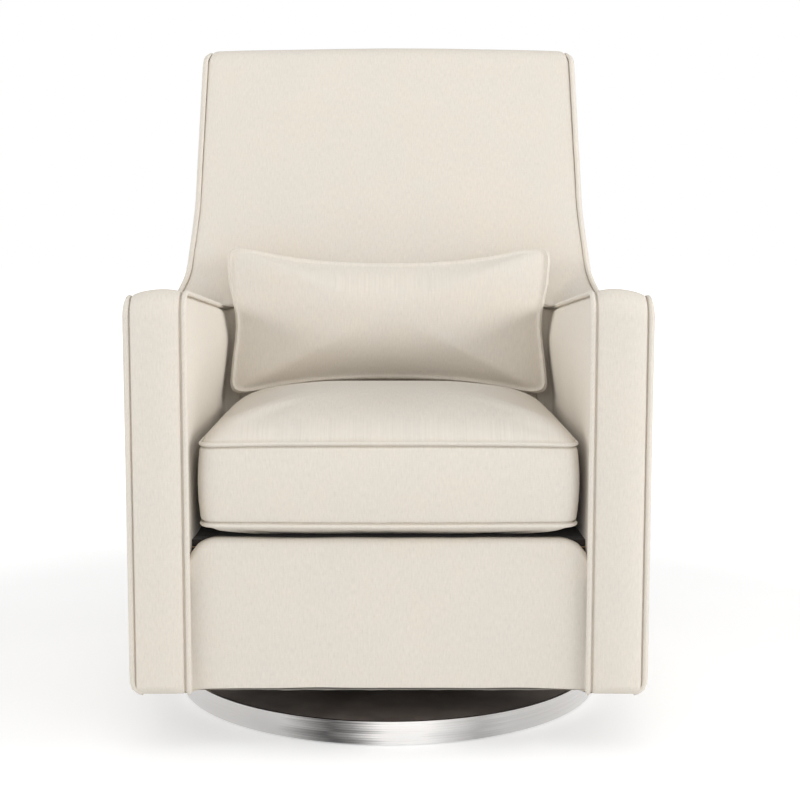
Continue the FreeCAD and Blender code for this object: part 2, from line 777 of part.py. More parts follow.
def base_disc():
    disc = cylinder(base_radius - band_wall - band_clearance, disc_bottom_z, disc_top_z)
    for x, y in turntable_bolt_places():
        disc = disc.cut(cylinder(bolt_radius + bolt_hole_clearance, disc_bottom_z, disc_top_z, x, y))
    return disc


def floor_glides():
    glides = []
    for i in range(glide_count):
        angle = 2 * math.pi * (i + 0.5) / glide_count
        x, y = glide_circle_radius * math.cos(angle), glide_circle_radius * math.sin(angle)
        glide = Part.makeCone(glide_radius - glide_taper, glide_radius, disc_bottom_z, Vector(x, y, 0))
        glides.append(glide)
    return glides


lower_plate_top_z = disc_top_z + plate_thickness
ball_z = lower_plate_top_z + race_height + ball_radius + race_clearance - groove_depth
upper_plate_z = 2 * ball_z - lower_plate_top_z


def race_plate(z_from, race_root_z, race_face_z):
    """Square pressed plate with a ring that has a flat-bottomed groove for the balls."""
    half = plate_half_width
    square = [(-half, -half), (half, -half), (half, half), (-half, half)]
    plate = z_prism(square, [plate_corner_radius] * 4, z_from, z_from + plate_thickness)
    depth = math.copysign(groove_depth, race_face_z - race_root_z)
    floor_z = race_face_z - depth
    reach = ball_radius + race_clearance
    inner, outer = race_circle_radius - race_half_width, race_circle_radius + race_half_width
    lip = math.sqrt(reach ** 2 - (reach - groove_depth) ** 2)
    section = [(inner, race_root_z), (outer, race_root_z), (outer, race_face_z),
               (race_circle_radius + lip + groove_depth / 2, race_face_z), (race_circle_radius + lip, floor_z),
               (race_circle_radius - lip, floor_z), (race_circle_radius - lip - groove_depth / 2, race_face_z),
               (inner, race_face_z)]
    ring = Part.Face(rounded_wire(section, [0.0] * len(section), on_y(0.0)))
    ring = ring.revolve(Vector(0, 0, 0), Vector(0, 0, 1), 360)
    return plate.fuse(ring).removeSplitter()


def turntable_lower_plate():
    plate = race_plate(disc_top_z, lower_plate_top_z, lower_plate_top_z + race_height)
    plate = plate.cut(cylinder(rivet_radius, disc_top_z, upper_plate_z))
    for x, y in turntable_bolt_places():
        plate = plate.cut(cylinder(bolt_radius + bolt_hole_clearance, disc_top_z, lower_plate_top_z, x, y))
    return plate


def cradle_bolt_places():
    return [(x, y) for x in (-cradle_bolt_x, cradle_bolt_x) for y in (-cradle_bolt_y, cradle_bolt_y)]


def turntable_upper_plate():
    plate = race_plate(upper_plate_z, upper_plate_z, upper_plate_z - race_height)
    plate = plate.cut(cylinder(rivet_radius + running_clearance, disc_top_z, back_top_z))
    for x, y in cradle_bolt_places():
        hole = cylinder(bolt_radius + bolt_hole_clearance, upper_plate_z,
                        upper_plate_z + plate_thickness, x, y)
        plate = plate.cut(hole)
    return plate


def turntable_balls():
    balls = []
    for i in range(ball_count):
        angle = 2 * math.pi * i / ball_count
        centre = Vector(race_circle_radius * math.cos(angle), race_circle_radius * math.sin(angle), ball_z)
        balls.append(Part.makeSphere(ball_radius, centre))
    return balls


def ball_cage():
    low, high = ball_z - cage_thickness / 2, ball_z + cage_thickness / 2
    ring = cylinder(race_circle_radius + cage_half_width, low, high)
    ring = ring.cut(cylinder(race_circle_radius - cage_half_width, low, high))
    for i in range(ball_count):
        angle = 2 * math.pi * i / ball_count
        x, y = race_circle_radius * math.cos(angle), race_circle_radius * math.sin(angle)
        ring = ring.cut(cylinder(ball_radius + race_clearance, low, high, x, y))
    return ring


cradle_z = upper_plate_z + plate_thickness
cradle_top_z = cradle_z + steel_thickness


def pivot_rivet():
    """Rivet in the lower plate that the upper plate and cradle turn on."""
    head_z = cradle_top_z + race_clearance
    shank = cylinder(rivet_radius, disc_top_z, head_z)
    return shank.fuse(cylinder(rivet_head_radius, head_z, head_z + rivet_head_height)).removeSplitter()


def hexagon_head(x, y, z_from, z_to):
    corners = [math.radians(60 * i) for i in range(6)]
    points = [(x + bolt_head_radius * math.cos(a), y + bolt_head_radius * math.sin(a)) for a in corners]
    return z_prism(points, [0.0] * 6, z_from, z_to)


def bolt_up(x, y, head_top_z, end_z, radius=bolt_radius):
    """Bolt whose head is below head_top_z and whose shank ends at end_z."""
    head = hexagon_head(x, y, head_top_z - bolt_head_height, head_top_z)
    return head.fuse(cylinder(radius, head_top_z, end_z, x, y))


def bolt_down(x, y, head_bottom_z, end_z):
    """Bolt whose head stands on head_bottom_z and whose shank goes down to end_z."""
    head = hexagon_head(x, y, head_bottom_z, head_bottom_z + bolt_head_height)
    return head.fuse(cylinder(bolt_radius, end_z, head_bottom_z, x, y))


def turntable_bolts():
    return [bolt_down(x, y, lower_plate_top_z, disc_bottom_z) for x, y in turntable_bolt_places()]


def cradle_bolts():
    return [bolt_down(x, y, cradle_top_z, upper_plate_z) for x, y in cradle_bolt_places()]


# Rocker
def cheek(x_from, x_to):
    """Upright of the cradle: a trapezium that ends in a round boss at the rock axis."""
    boss = cheek_boss_radius
    points = [(-cheek_foot_half, cradle_z), (cheek_foot_half, cradle_z), (boss, rock_axis_z + boss),
              (-boss, rock_axis_z + boss)]
    plate = x_prism(points, [0.0, 0.0, cheek_boss_round, cheek_boss_round], x_from, x_to)
    return plate.cut(x_cylinder(pin_radius, x_from, x_to, 0.0, rock_axis_z))


def rocker_cradle():
    """Channel-shaped frame on the turntable, with a cheek on each side."""
    width, length = cradle_half_width, cradle_half_length
    points = [(-width, -length), (width, -length), (width, length), (-width, length)]
    cradle = z_prism(points, [cradle_corner_radius] * 4, cradle_z, cradle_top_z)
    for side in sides.values():
        cradle = cradle.fuse(mirrored(cheek(width - steel_thickness, width), side))
        shelf = block(width - steel_thickness, width + 2 * stop_radius + steel_thickness,
                      stop_y - stop_radius - steel_thickness, stop_y + stop_radius + steel_thickness,
                      cradle_z, cradle_top_z)
        cradle = cradle.fuse(mirrored(shelf, side))
        cradle = cradle.fuse(mirrored(shelf.mirror(Vector(0, 0, 0), Vector(0, 1, 0)), side))
    cradle = cradle.cut(cylinder(rivet_radius + running_clearance, cradle_z, cradle_top_z))
    for x, y in cradle_bolt_places():
        cradle = cradle.cut(cylinder(bolt_radius + bolt_hole_clearance, cradle_z, cradle_top_z, x, y))
    return cradle.removeSplitter()


arm_plate_x = cradle_half_width + washer_thickness + arm_plate_gap
arm_plate_outer_x = arm_plate_x + steel_thickness
bush_radius = pin_radius + bush_wall


def pivot_pins():
    """Pins in the cheeks, headed inside, that the rocker arms' bushes turn on."""
    pins = []
    inside_x = cradle_half_width - steel_thickness
    end_x = arm_plate_outer_x + bush_flange_thickness + arm_plate_gap + pin_head_thickness
    for side in sides.values():
        pin = x_cylinder(pin_radius, inside_x, end_x, 0.0, rock_axis_z)
        pin = pin.fuse(x_cylinder(pin_head_radius, inside_x - pin_head_thickness, inside_x, 0.0, rock_axis_z))
        clip_x = end_x - pin_head_thickness
        pin = pin.fuse(x_cylinder(pin_head_radius, clip_x, end_x, 0.0, rock_axis_z))
        pins.append(mirrored(pin.removeSplitter(), side))
    return pins


def spacer_washers():
    washers = []
    for side in sides.values():
        start, end = cradle_half_width, cradle_half_width + washer_thickness
        washer = x_cylinder(washer_radius, start, end, 0.0, rock_axis_z)
        washer = washer.cut(x_cylinder(pin_radius, start, end, 0.0, rock_axis_z))
        washers.append(mirrored(washer, side))
    return washers


def pivot_bushes():
    """Flanged nylon bushes in the rocker arms."""
    bushes = []
    for side in sides.values():
        start, end = arm_plate_x, arm_plate_outer_x
        bush = x_cylinder(bush_radius, start, end, 0.0, rock_axis_z)
        flange_end = end + bush_flange_thickness
        bush = bush.fuse(x_cylinder(bush_radius + bush_wall, end, flange_end, 0.0, rock_axis_z))
        bore = x_cylinder(pin_radius + running_clearance, start, flange_end, 0.0, rock_axis_z)
        bushes.append(mirrored(bush.cut(bore).removeSplitter(), side))
    return bushes


def flange_bolt_places():
    """Bolt centres of the right-hand rocker arm."""
    x = arm_plate_x + flange_bolt_inset
    return [(x, sign * (cross_rail_y + step)) for sign in (-1.0, 1.0)
            for step in (-flange_bolt_spread, flange_bolt_spread)]


def rocker_arm(side):
    """Steel arm from the pivot up to a flange under the cross rails."""
    top_z = rail_bottom_z
    boss = arm_boss_radius
    heel = arm_half_length
    points = [(-boss, rock_axis_z - boss), (boss, rock_axis_z - boss), (arm_heel_start_y, arm_heel_z),
              (heel, arm_heel_z), (heel, top_z), (-heel, top_z), (-heel, arm_heel_z),
              (-arm_heel_start_y, arm_heel_z)]
    radii = [arm_boss_round, arm_boss_round, arm_waist_round, arm_heel_round, 0.0, 0.0, arm_heel_round,
             arm_waist_round]
    plate = x_prism(points, radii, arm_plate_x, arm_plate_outer_x)
    plate = plate.cut(x_cylinder(bush_radius, arm_plate_x, arm_plate_outer_x, 0.0, rock_axis_z))
    flange = block(arm_plate_x, arm_plate_x + arm_flange_width, -heel, heel, top_z - steel_thickness, top_z)
    arm = plate.fuse(flange)
    for x, y in flange_bolt_places():
        hole = cylinder(bolt_radius + bolt_hole_clearance, top_z - steel_thickness, top_z, x, y)
        arm = arm.cut(hole)
    return mirrored(arm.removeSplitter(), side)


def arm_bolts(radius=bolt_radius):
    bolts = []
    head_z = rail_bottom_z - steel_thickness
    for side in sides.values():
        for x, y in flange_bolt_places():
            bolt = bolt_up(x, y, head_z, rail_bottom_z + cross_rail_thickness, radius)
            bolts.append(mirrored(bolt, side))
    return bolts


def stop_top_z(sign):
    """Height of a rubber stop that leaves its gap to the rocker arm at the rock's limit."""
    angle = math.radians(rock_forward_deg if sign < 0 else rock_back_deg)
    reach = stop_y + stop_radius
    drop = rock_axis_z - arm_heel_z
    return rock_axis_z - reach * math.sin(angle) - drop * math.cos(angle) - stop_gap


def bump_stops():
    stops = []
    x = (arm_plate_x + arm_plate_outer_x) / 2
    for side in sides.values():
        for sign in (-1.0, 1.0):
            stop = cylinder(stop_radius, cradle_top_z, stop_top_z(sign), x, sign * stop_y)
            stops.append(mirrored(stop, side))
    return stops


def rocker_spring(side, sign):
    """Coil spring between the cradle and a cross rail, with its wire square in section."""
    low = cradle_top_z + spring_wire / 2
    high = rail_bottom_z - spring_wire / 2
    helix = Part.makeHelix((high - low) / spring_turns, high - low, spring_coil_radius)
    half = spring_wire / 2
    corners = [(spring_coil_radius - half, -half), (spring_coil_radius + half, -half),
               (spring_coil_radius + half, half), (spring_coil_radius - half, half)]
    profile = rounded_wire(corners, [0.0] * 4, on_y(0.0))
    spring = Part.Wire(helix.Edges).makePipeShell([profile], True, True)
    spring.translate(Vector(side * spring_x, sign * spring_y, low))
    return spring


# Writing the sub-parts
def export_body():
    for name, side in sides.items():
        export(arm_outer_panel(side), "arm_outer_panel_" + name)
        export(arm_boxing(side), "arm_boxing_" + name)
        export_group(arm_welts(side), "arm_welts_" + name)
        export(arm_inner_panel(side), "arm_inner_panel_" + name)
        export(arm_inner_foam(side), "arm_inner_foam_" + name)
        export(side_frame(side), "side_frame_" + name)
        export(arm_front_post(side), "arm_front_post_" + name)
        export(seat_rail_side(side), "seat_rail_" + name)
        export(rocker_arm(side), "rocker_arm_" + name)
    export(inside_back(), "inside_back")
    export(outside_back(), "outside_back")
    export(apron(), "apron")
    export(seat_rail_front(), "seat_rail_front")
    export(seat_rail_rear(), "seat_rail_rear")
    holes = arm_bolts(bolt_radius + bolt_hole_clearance)
    export(cross_rail(-cross_rail_y, holes), "cross_rail_front")
    export(cross_rail(cross_rail_y, holes), "cross_rail_rear")
    export_group(corner_blocks(), "corner_blocks")
    export_group(seat_webbing(), "seat_webbing")
    export(seat_deck(), "seat_deck")
    export(back_rail_top(), "back_rail_top")
    export(back_rail_lumbar(), "back_rail_lumbar")
    export(back_rail_foot(), "back_rail_foot")
    export_group(back_webbing(), "back_webbing")
    export(dust_cover(), "dust_cover")
    export(seat_cushion(), "seat_cushion")
    export(lumbar_pillow(), "lumbar_pillow")
    export_group(arm_bolts(), "arm_bolts")
    export_group(pivot_bushes(), "pivot_bushes")


def export_swivel():
    export(turntable_upper_plate(), "turntable_upper_plate")
    export(rocker_cradle(), "rocker_cradle")
    export_group(cradle_bolts(), "cradle_bolts")
    export_group(pivot_pins(), "pivot_pins")
    export_group(spacer_washers(), "spacer_washers")
    export_group(bump_stops(), "bump_stops")
    for name, side in sides.items():
        export(rocker_spring(side, -1.0), "spring_front_" + name)
        export(rocker_spring(side, 1.0), "spring_rear_" + name)


def export_base():
    export(base_band(), "base_band")
    export(base_disc(), "base_disc")
    export_group(floor_glides(), "floor_glides")
    export(turntable_lower_plate(), "turntable_lower_plate")
    export_group(turntable_balls(), "turntable_balls")
    export(ball_cage(), "ball_cage")
    export(pivot_rivet(), "pivot_rivet")
    export_group(turntable_bolts(), "turntable_bolts")


export_body()
export_swivel()
export_base()
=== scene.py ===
import json
import math
import bpy
import numpy as np
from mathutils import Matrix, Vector, noise
from mathutils.bvhtree import BVHTree
from mathutils.kdtree import KDTree


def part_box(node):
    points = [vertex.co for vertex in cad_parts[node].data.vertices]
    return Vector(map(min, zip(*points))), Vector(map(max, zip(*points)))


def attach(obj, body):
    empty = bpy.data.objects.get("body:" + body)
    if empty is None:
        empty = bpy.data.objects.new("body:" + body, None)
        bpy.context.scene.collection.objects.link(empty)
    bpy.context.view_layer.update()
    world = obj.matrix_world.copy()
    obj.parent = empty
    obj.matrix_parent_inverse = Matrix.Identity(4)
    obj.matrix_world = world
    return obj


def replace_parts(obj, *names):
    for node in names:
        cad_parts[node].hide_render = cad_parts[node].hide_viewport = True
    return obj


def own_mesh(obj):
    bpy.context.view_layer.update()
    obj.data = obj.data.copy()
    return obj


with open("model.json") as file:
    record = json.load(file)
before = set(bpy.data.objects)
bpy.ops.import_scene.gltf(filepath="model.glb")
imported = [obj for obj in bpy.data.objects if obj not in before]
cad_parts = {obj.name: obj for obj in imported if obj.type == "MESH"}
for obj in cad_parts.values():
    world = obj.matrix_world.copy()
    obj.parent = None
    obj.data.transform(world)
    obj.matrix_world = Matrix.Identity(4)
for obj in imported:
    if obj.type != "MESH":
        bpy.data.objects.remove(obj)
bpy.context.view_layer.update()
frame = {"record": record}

# Upholstered swivel rocker, in metres, dressed over its frame. The origin is on the swivel axis,
# on the floor. The sitter faces -Y and +X is to the right of someone who looks along +Y.

# Sizes of the body, from the frame
arm_outer_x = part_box("arm_outer_panel_right")[1].x
arm_inner_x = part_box("arm_inner_panel_right")[0].x
body_bottom_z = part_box("outside_back")[0].z
boxing_end_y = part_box("arm_boxing_right")[1].y
arm_crown = 0.008                # how far the padded strip stands proud between its welts
arm_front_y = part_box("arm_boxing_right")[0].y + arm_crown
rear_top_y = -(arm_front_y - arm_crown)
back_top_z = 1.034
deck_top_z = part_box("seat_deck")[1].z
back_foot_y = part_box("seat_deck")[1].y

# Sizes of the body that the frame's boxes don't give
arm_inner_top_z = 0.639          # virtual front corner of the arm top, at its inside face
arm_outer_top_z = 0.633
arm_fall = math.tan(math.radians(5.06))
arm_nose_radius = 0.028
rear_lean = 0.06975
rear_foot_y = rear_top_y - rear_lean
back_lean = math.tan(math.radians(15.0))
back_crest_radius = 0.030
sweep_inner_radius = 0.025
sweep_outer_radius = 0.140
body_corner_radius = 0.016
corner_steps = 12                # points round each corner of the body's outline
hook_width = 0.026               # the arm's inside cover turns in by this much to meet the back

# Right half of the body's outline from the front, from its bottom up, with its corners' radii
outline_points = [(0.0, body_bottom_z), (arm_outer_x, body_bottom_z), (arm_outer_x, 0.605), (0.336, 0.647),
                  (0.323, 0.757), (0.3137, 1.030), (0.0, back_top_z)]
outline_radii = [body_corner_radius, 0.118, 0.155, 0.400, 0.021]
crest_rise = 0.0022              # how much higher the stuffed crest stands between its corners

# Upholstery
welt_radius = 0.0033
inner_welt_radius = 0.0036       # along the arms' inside edges
loose_welt_radius = 0.0029       # of the two loose cushions
welt_sink = 0.0007               # how far a welt's centre line lies off the faces that it joins
welt_step = 0.005                # distance between a welt's points
welt_wobble = 0.0003
welt_wobble_length = 0.03
pucker = 0.0006                  # ripple of a cover along its seams
pucker_size = 0.011
pucker_start = 0.006             # distance from the seam at which the ripple is full
pucker_reach = 0.016
pucker_seed = 40
calm_width = 0.03                # strip beside a seam where the slow unevenness fades out
seed_steps = (3.7, 1.3, 7.1)     # how far a seed shifts the noise along each axis
pillow_top_z = 0.68
# Dip of a cover beside its welt: distances from the seam and depths there
seam_dip = [(0.0, 0.0015), (0.0020, 0.0030), (0.0036, 0.0044), (0.0048, 0.0024), (0.0062, 0.0007),
            (0.0095, 0.0)]
# Distances from a seam at which a cover gets a line of its own
seam_lines = (0.0, 0.0012, 0.0024, 0.0036, 0.0042, 0.0048, 0.0055, 0.0062, 0.0075, 0.0095, 0.0125)


# Plane geometry
def lerp(start, end, share):
    return start + (end - start) * share


def smooth(share):
    """Ease from 0 to 1, level at both ends."""
    share = min(1.0, max(0.0, share))
    return share * share * (3.0 - 2.0 * share)


def grown(distance, length):
    """Share between 0 and 1 of a length that each distance covers."""
    return np.clip(distance / length, 0.0, 1.0)


def crossing(first, second):
    """Point where two straight lines, each given by two points, meet."""
    (ax, ay), (bx, by) = first
    (cx, cy), (dx, dy) = second
    run = (bx - ax) * (dy - cy) - (by - ay) * (dx - cx)
    share = ((cx - ax) * (dy - cy) - (cy - ay) * (dx - cx)) / run
    return lerp(ax, bx, share), lerp(ay, by, share)


def corner_arc(before, corner, after, radius, steps):
    """Points of the arc that rounds a corner, from its start to its end."""
    here = Vector(corner)
    into = (Vector(before) - here).normalized()
    out = (Vector(after) - here).normalized()
    half = into.angle(out) / 2.0
    centre = here + (into + out).normalized() * (radius / math.sin(half))
    start = here + into * (radius / math.tan(half)) - centre
    end = here + out * (radius / math.tan(half)) - centre
    turn = start.angle(end)
    points = []
    for i in range(steps + 1):
        share = i / steps
        ahead = math.sin(turn * (1.0 - share)) / math.sin(turn)
        behind = math.sin(turn * share) / math.sin(turn)
        points.append(tuple(centre + start * ahead + end * behind))
    return points


def straight(start, end, steps):
    """Points of a straight run without its first point."""
    return [(lerp(start[0], end[0], i / steps), lerp(start[1], end[1], i / steps))
            for i in range(1, steps + 1)]


def rounded_path(points, radii, steps):
    """Open path of straight runs with its inner corners rounded."""
    path = [points[0]]
    for i, radius in enumerate(radii):
        path += corner_arc(points[i], points[i + 1], points[i + 2], radius, steps)
    return path + [points[-1]]


def evenly(path, step):
    """The same path, with its points about one step apart."""
    points = [Vector(p) for p in path]
    lengths = [0.0]
    for before, after in zip(points, points[1:]):
        lengths.append(lengths[-1] + (after - before).length)
    count = max(2, round(lengths[-1] / step))
    wanted = [lengths[-1] * i / count for i in range(count + 1)]
    columns = [np.interp(wanted, lengths, [p[axis] for p in points]) for axis in range(len(points[0]))]
    return [Vector(values) for values in zip(*columns)]


# Outlines of the upholstered body
def arm_top_z(x, y):
    across = (abs(x) - arm_inner_x) / (arm_outer_x - arm_inner_x)
    return lerp(arm_inner_top_z, arm_outer_top_z, across) - arm_fall * (y - arm_front_y)


def back_face_y(z):
    return back_foot_y + back_lean * (z - deck_top_z)


def rear_face_y(z):
    return rear_foot_y + rear_lean * (z - body_bottom_z) / (back_top_z - body_bottom_z)


def sweep_radius(x):
    across = (abs(x) - arm_inner_x) / (arm_outer_x - arm_inner_x)
    return lerp(sweep_inner_radius, sweep_outer_radius, across)


outline = rounded_path(outline_points, outline_radii, corner_steps)
top_corner = outline[-2 - corner_steps // 2]        # middle of the rounded top corner
side_line = [p for p in outline[1:] if p[1] <= top_corner[1]]
top_line = [p for p in outline if p[1] >= top_corner[1]][::-1]


def body_half(z):
    """Half width of the body at a height."""
    return float(np.interp(z, [p[1] for p in side_line], [p[0] for p in side_line]))


def crest_z(x):
    """Height of the crest at x."""
    rise = crest_rise * max(0.0, 1.0 - (abs(x) / top_corner[0]) ** 8)
    return rise + float(np.interp(abs(x), [p[0] for p in top_line], [p[1] for p in top_line]))


def sweep_corner(x):
    """Where the arm top's line meets the line of the back's face."""
    top = ((arm_front_y, arm_top_z(x, arm_front_y)), (0.0, arm_top_z(x, 0.0)))
    face = ((back_foot_y, deck_top_z), (back_face_y(back_top_z), back_top_z))
    return crossing(top, face)


# Meshes
def link(name, mesh, body="chair"):
    piece = bpy.data.objects.new(name, mesh)
    bpy.context.scene.collection.objects.link(piece)
    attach(piece, body)
    return piece


def face_uv(mesh, places):
    """Give each corner the flat place of its vertex, in metres, so that a weave keeps its scale."""
    layer = mesh.uv_layers.new(name="weave")
    for loop in mesh.loops:
        layer.data[loop.index].uv = places[loop.vertex_index]


def travelled(points, axis):
    """Distance of each grid point from its row's start (axis 1) or from its column's foot (axis 0)."""
    first = points[:, :1] if axis else points[:1]
    return np.linalg.norm(np.diff(points, axis=axis, prepend=first), axis=2).cumsum(axis=axis)


def grid_places(points):
    """Flat place of each grid point: across from its row's middle, and up its column."""
    across = travelled(points, 1)
    across = across - across[:, -1:] / 2.0
    return np.stack([across, travelled(points, 0)], axis=2)


def grid_normals(points):
    along = np.gradient(points, axis=1)
    down = np.gradient(points, axis=0)
    normals = np.cross(down, along)
    return normals / np.maximum(np.linalg.norm(normals, axis=2, keepdims=True), 1e-9)


def grid_mesh(name, points, flip=False, places=None):
    """Smooth mesh over a grid of points, with the weave laid along the grid or at given places."""
    rows, columns = points.shape[:2]
    if places is None:
        places = grid_places(points)
    corners = []
    for r in range(rows - 1):
        for c in range(columns - 1):
            quad = [r * columns + c, r * columns + c + 1, (r + 1) * columns + c + 1, (r + 1) * columns + c]
            corners.append(quad[::-1] if flip else quad)
    mesh = bpy.data.meshes.new(name)
    mesh.from_pydata([tuple(p) for p in points.reshape(-1, 3)], [], corners)
    face_uv(mesh, places.reshape(-1, 2))
    mesh.polygons.foreach_set("use_smooth", [True] * len(mesh.polygons))
    mesh.update()
    return mesh


def edge_distance(points, sides):
    """Distance of each grid point from the nearest of the named edges."""
    across, down = travelled(points, 1), travelled(points, 0)
    distances = {"start": across, "end": across[:, -1:] - across, "foot": down, "top": down[-1:] - down}
    return np.minimum.reduce([distances[side] for side in sides])


def with_seam_lines(points, sides):
    """The same grid with more lines beside the named edges, where a cover dips to its seam."""
    for side in sides:
        turned = points.transpose(1, 0, 2) if side in ("foot", "top") else points
        turned = turned[:, ::-1] if side in ("end", "top") else turned
        lengths = travelled(turned, 1)
        first = next(c for c in range(turned.shape[1]) if lengths[:, c].min() > seam_lines[-1])
        near = []
        for line, length in zip(turned, lengths):
            near.append([[np.interp(step, length, line[:, axis]) for axis in range(3)]
                         for step in seam_lines])
        turned = np.concatenate([np.array(near), turned[:, first:]], axis=1)
        turned = turned[:, ::-1] if side in ("end", "top") else turned
        points = turned.transpose(1, 0, 2) if side in ("foot", "top") else turned
    return points


def dip(distance):
    return np.interp(distance, [d for d, _ in seam_dip], [depth for _, depth in seam_dip])


def lumps(points, size, seed):
    """Slow unevenness between -1 and 1 at each point."""
    shift = Vector([seed * step for step in seed_steps])
    flat = points.reshape(-1, 3)
    values = [noise.noise(Vector(p) / size + shift) for p in flat]
    return np.array(values).reshape(points.shape[:-1])


def padded_grid(points, sides, crown=0.0, reach=0.08, outward=1.0, seed=0, unevenness=0.0006, depth=1.0):
    """Push a grid out along its normals: crowned away from the named edges, dipped and puckered beside
    them, and a little uneven. depth is the share of the full dip."""
    distance = edge_distance(points, sides)
    rise = 1.0 - np.exp(-distance / reach)
    calm = grown(distance, calm_width)
    push = crown * rise - depth * dip(distance) + unevenness * calm * lumps(points, 0.07, seed)
    push = push + puckers(points, distance, seed)
    return points + grid_normals(points) * (push * outward)[:, :, None]


def puckers(points, distance, seed):
    """Short ripples that fade out away from a seam."""
    fade = grown(distance, pucker_start) * np.exp(-distance / pucker_reach)
    return pucker * fade * lumps(points, pucker_size, seed + pucker_seed)


off_axis = (0.31, 0.17, 0.93)    # a direction that no tube starts along
tube_end_share = 0.35            # share of its radius that a tube has at its ends
tube_sides = 10


def tube_mesh(name, path, radius, closed=False, sides=tube_sides):
    """Round tube along a path, with its ends drawn in."""
    points = np.array([tuple(p) for p in path])
    if closed:
        ahead = np.roll(points, -1, axis=0) - np.roll(points, 1, axis=0)
    else:
        ahead = np.gradient(points, axis=0)
    ahead = ahead / np.linalg.norm(ahead, axis=1, keepdims=True)
    side = np.cross(ahead[0], off_axis)
    rings, places = [], []
    length = 0.0
    last = len(points) - 1
    for i, centre in enumerate(points):
        side = side - ahead[i] * np.dot(side, ahead[i])
        side = side / np.linalg.norm(side)
        other = np.cross(ahead[i], side)
        length += np.linalg.norm(centre - points[i - 1]) if i else 0.0
        size = radius if closed or 0 < i < last else radius * tube_end_share
        for k in range(sides):
            angle = 2.0 * math.pi * k / sides
            rings.append(tuple(centre + size * (side * math.cos(angle) + other * math.sin(angle))))
            places.append((length, radius * angle))
    faces = []
    for i in range(len(points) if closed else last):
        for k in range(sides):
            here, there = i * sides, (i + 1) % len(points) * sides
            after = (k + 1) % sides
            faces.append([here + k, here + after, there + after, there + k])
    if not closed:
        faces.append(list(range(sides))[::-1])
        faces.append([last * sides + k for k in range(sides)])
    mesh = bpy.data.meshes.new(name)
    mesh.from_pydata(rings, [], faces)
    face_uv(mesh, places)
    mesh.polygons.foreach_set("use_smooth", [True] * len(mesh.polygons))
    mesh.update()
    return mesh


def welt(name, path, closed=False, radius=welt_radius):
    """Corded welt along a path, slightly uneven as sewn piping is."""
    points = evenly(list(path) + ([path[0]] if closed else []), welt_step)
    if closed:
        points = points[:-1]
    wobble = [Vector([noise.noise(p / welt_wobble_length + Vector((axis, 5.0, 2.0))) for axis in range(3)])
              for p in points]
    points = [p + w * welt_wobble for p, w in zip(points, wobble)]
    piece = link(name, tube_mesh(name, points, radius, closed))
    piece.data.materials.append(materials["welt"])
    return piece


def cover(name, mesh, node):
    """Padded piece in the upholstery's cloth that stands for a node of the frame."""
    piece = link(name, mesh)
    piece.data.materials.append(materials["cloth"])
    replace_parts(piece, node)
    return piece


# Materials
def grey(tone):
    return (tone, tone, tone)


class Nodes:
    """Short way to build a material's node tree."""

    def __init__(self, name):
        self.material = bpy.data.materials.new(name)
        self.material.use_nodes = True
        self.tree = self.material.node_tree
        self.shader = self.tree.nodes["Principled BSDF"]

    def add(self, kind, inputs=None, **settings):
        node = self.tree.nodes.new(kind)
        for key, value in settings.items():
            setattr(node, key, value)
        for key, value in (inputs or {}).items():
            if isinstance(value, bpy.types.NodeSocket):
                self.tree.links.new(value, node.inputs[key])
            else:
                node.inputs[key].default_value = value
        return node

    def math(self, operation, first, second=0.5, third=0.5):
        return self.add("ShaderNodeMath", {0: first, 1: second, 2: third}, operation=operation).outputs[0]

    def total(self, *terms):
        """Sum of several values, each given with its share."""
        result = self.math("MULTIPLY", *terms[0])
        for value, share in terms[1:]:
            result = self.math("ADD", result, self.math("MULTIPLY", value, share))
        return result

    def solid(self):
        """Places in the piece's own space, in metres."""
        return self.add("ShaderNodeTexCoord").outputs["Object"]

    def tinted(self, colour, tint):
        """One colour multiplied by another."""
        inputs = {0: 1.0, 6: colour, 7: tint}
        return self.add("ShaderNodeMix", inputs, data_type="RGBA", blend_type="MULTIPLY").outputs[2]

    def ramp(self, value, stops):
        """Grey or coloured ramp: stops are (place, (r, g, b))."""
        node = self.add("ShaderNodeValToRGB", {"Fac": value})
        while len(node.color_ramp.elements) < len(stops):
            node.color_ramp.elements.new(0.5)
        for element, (place, colour) in zip(node.color_ramp.elements, stops):
            element.position = place
            element.color = (*colour, 1.0)
        return node.outputs["Color"]

    def noise(self, vector, scale, detail=3.0, roughness=0.55):
        node = self.add("ShaderNodeTexNoise",
                        {"Vector": vector, "Scale": scale, "Detail": detail, "Roughness": roughness})
        return node.outputs["Fac"]

    def stretched(self, vector, scale):
        return self.add("ShaderNodeMapping", {"Vector": vector, "Scale": scale}).outputs["Vector"]

    def bump(self, height, strength, distance, normal=None):
        inputs = {"Height": height, "Strength": strength, "Distance": distance}
        if normal is not None:
            inputs["Normal"] = normal
        return self.add("ShaderNodeBump", inputs).outputs["Normal"]

    def link(self, output, socket):
        self.tree.links.new(output, self.shader.inputs[socket])

    def set(self, **values):
        for key, value in values.items():
            self.shader.inputs[key.replace("_", " ")].default_value = value


def thread_height(nodes, places, pitch):
    """Plain weave: warp and weft threads that pass over and under each other."""
    split = nodes.add("ShaderNodeSeparateXYZ", {"Vector": places})
    rate = math.pi / pitch
    across = nodes.math("SINE", nodes.math("MULTIPLY", split.outputs["X"], rate))
    along = nodes.math("SINE", nodes.math("MULTIPLY", split.outputs["Y"], rate))
    over = nodes.math("MULTIPLY", across, along)
    return nodes.math("MULTIPLY_ADD", over, 0.5)


fleck_tones = ((0.28, 0.95), (0.45, 1.0), (0.55, 1.0), (0.70, 1.035))


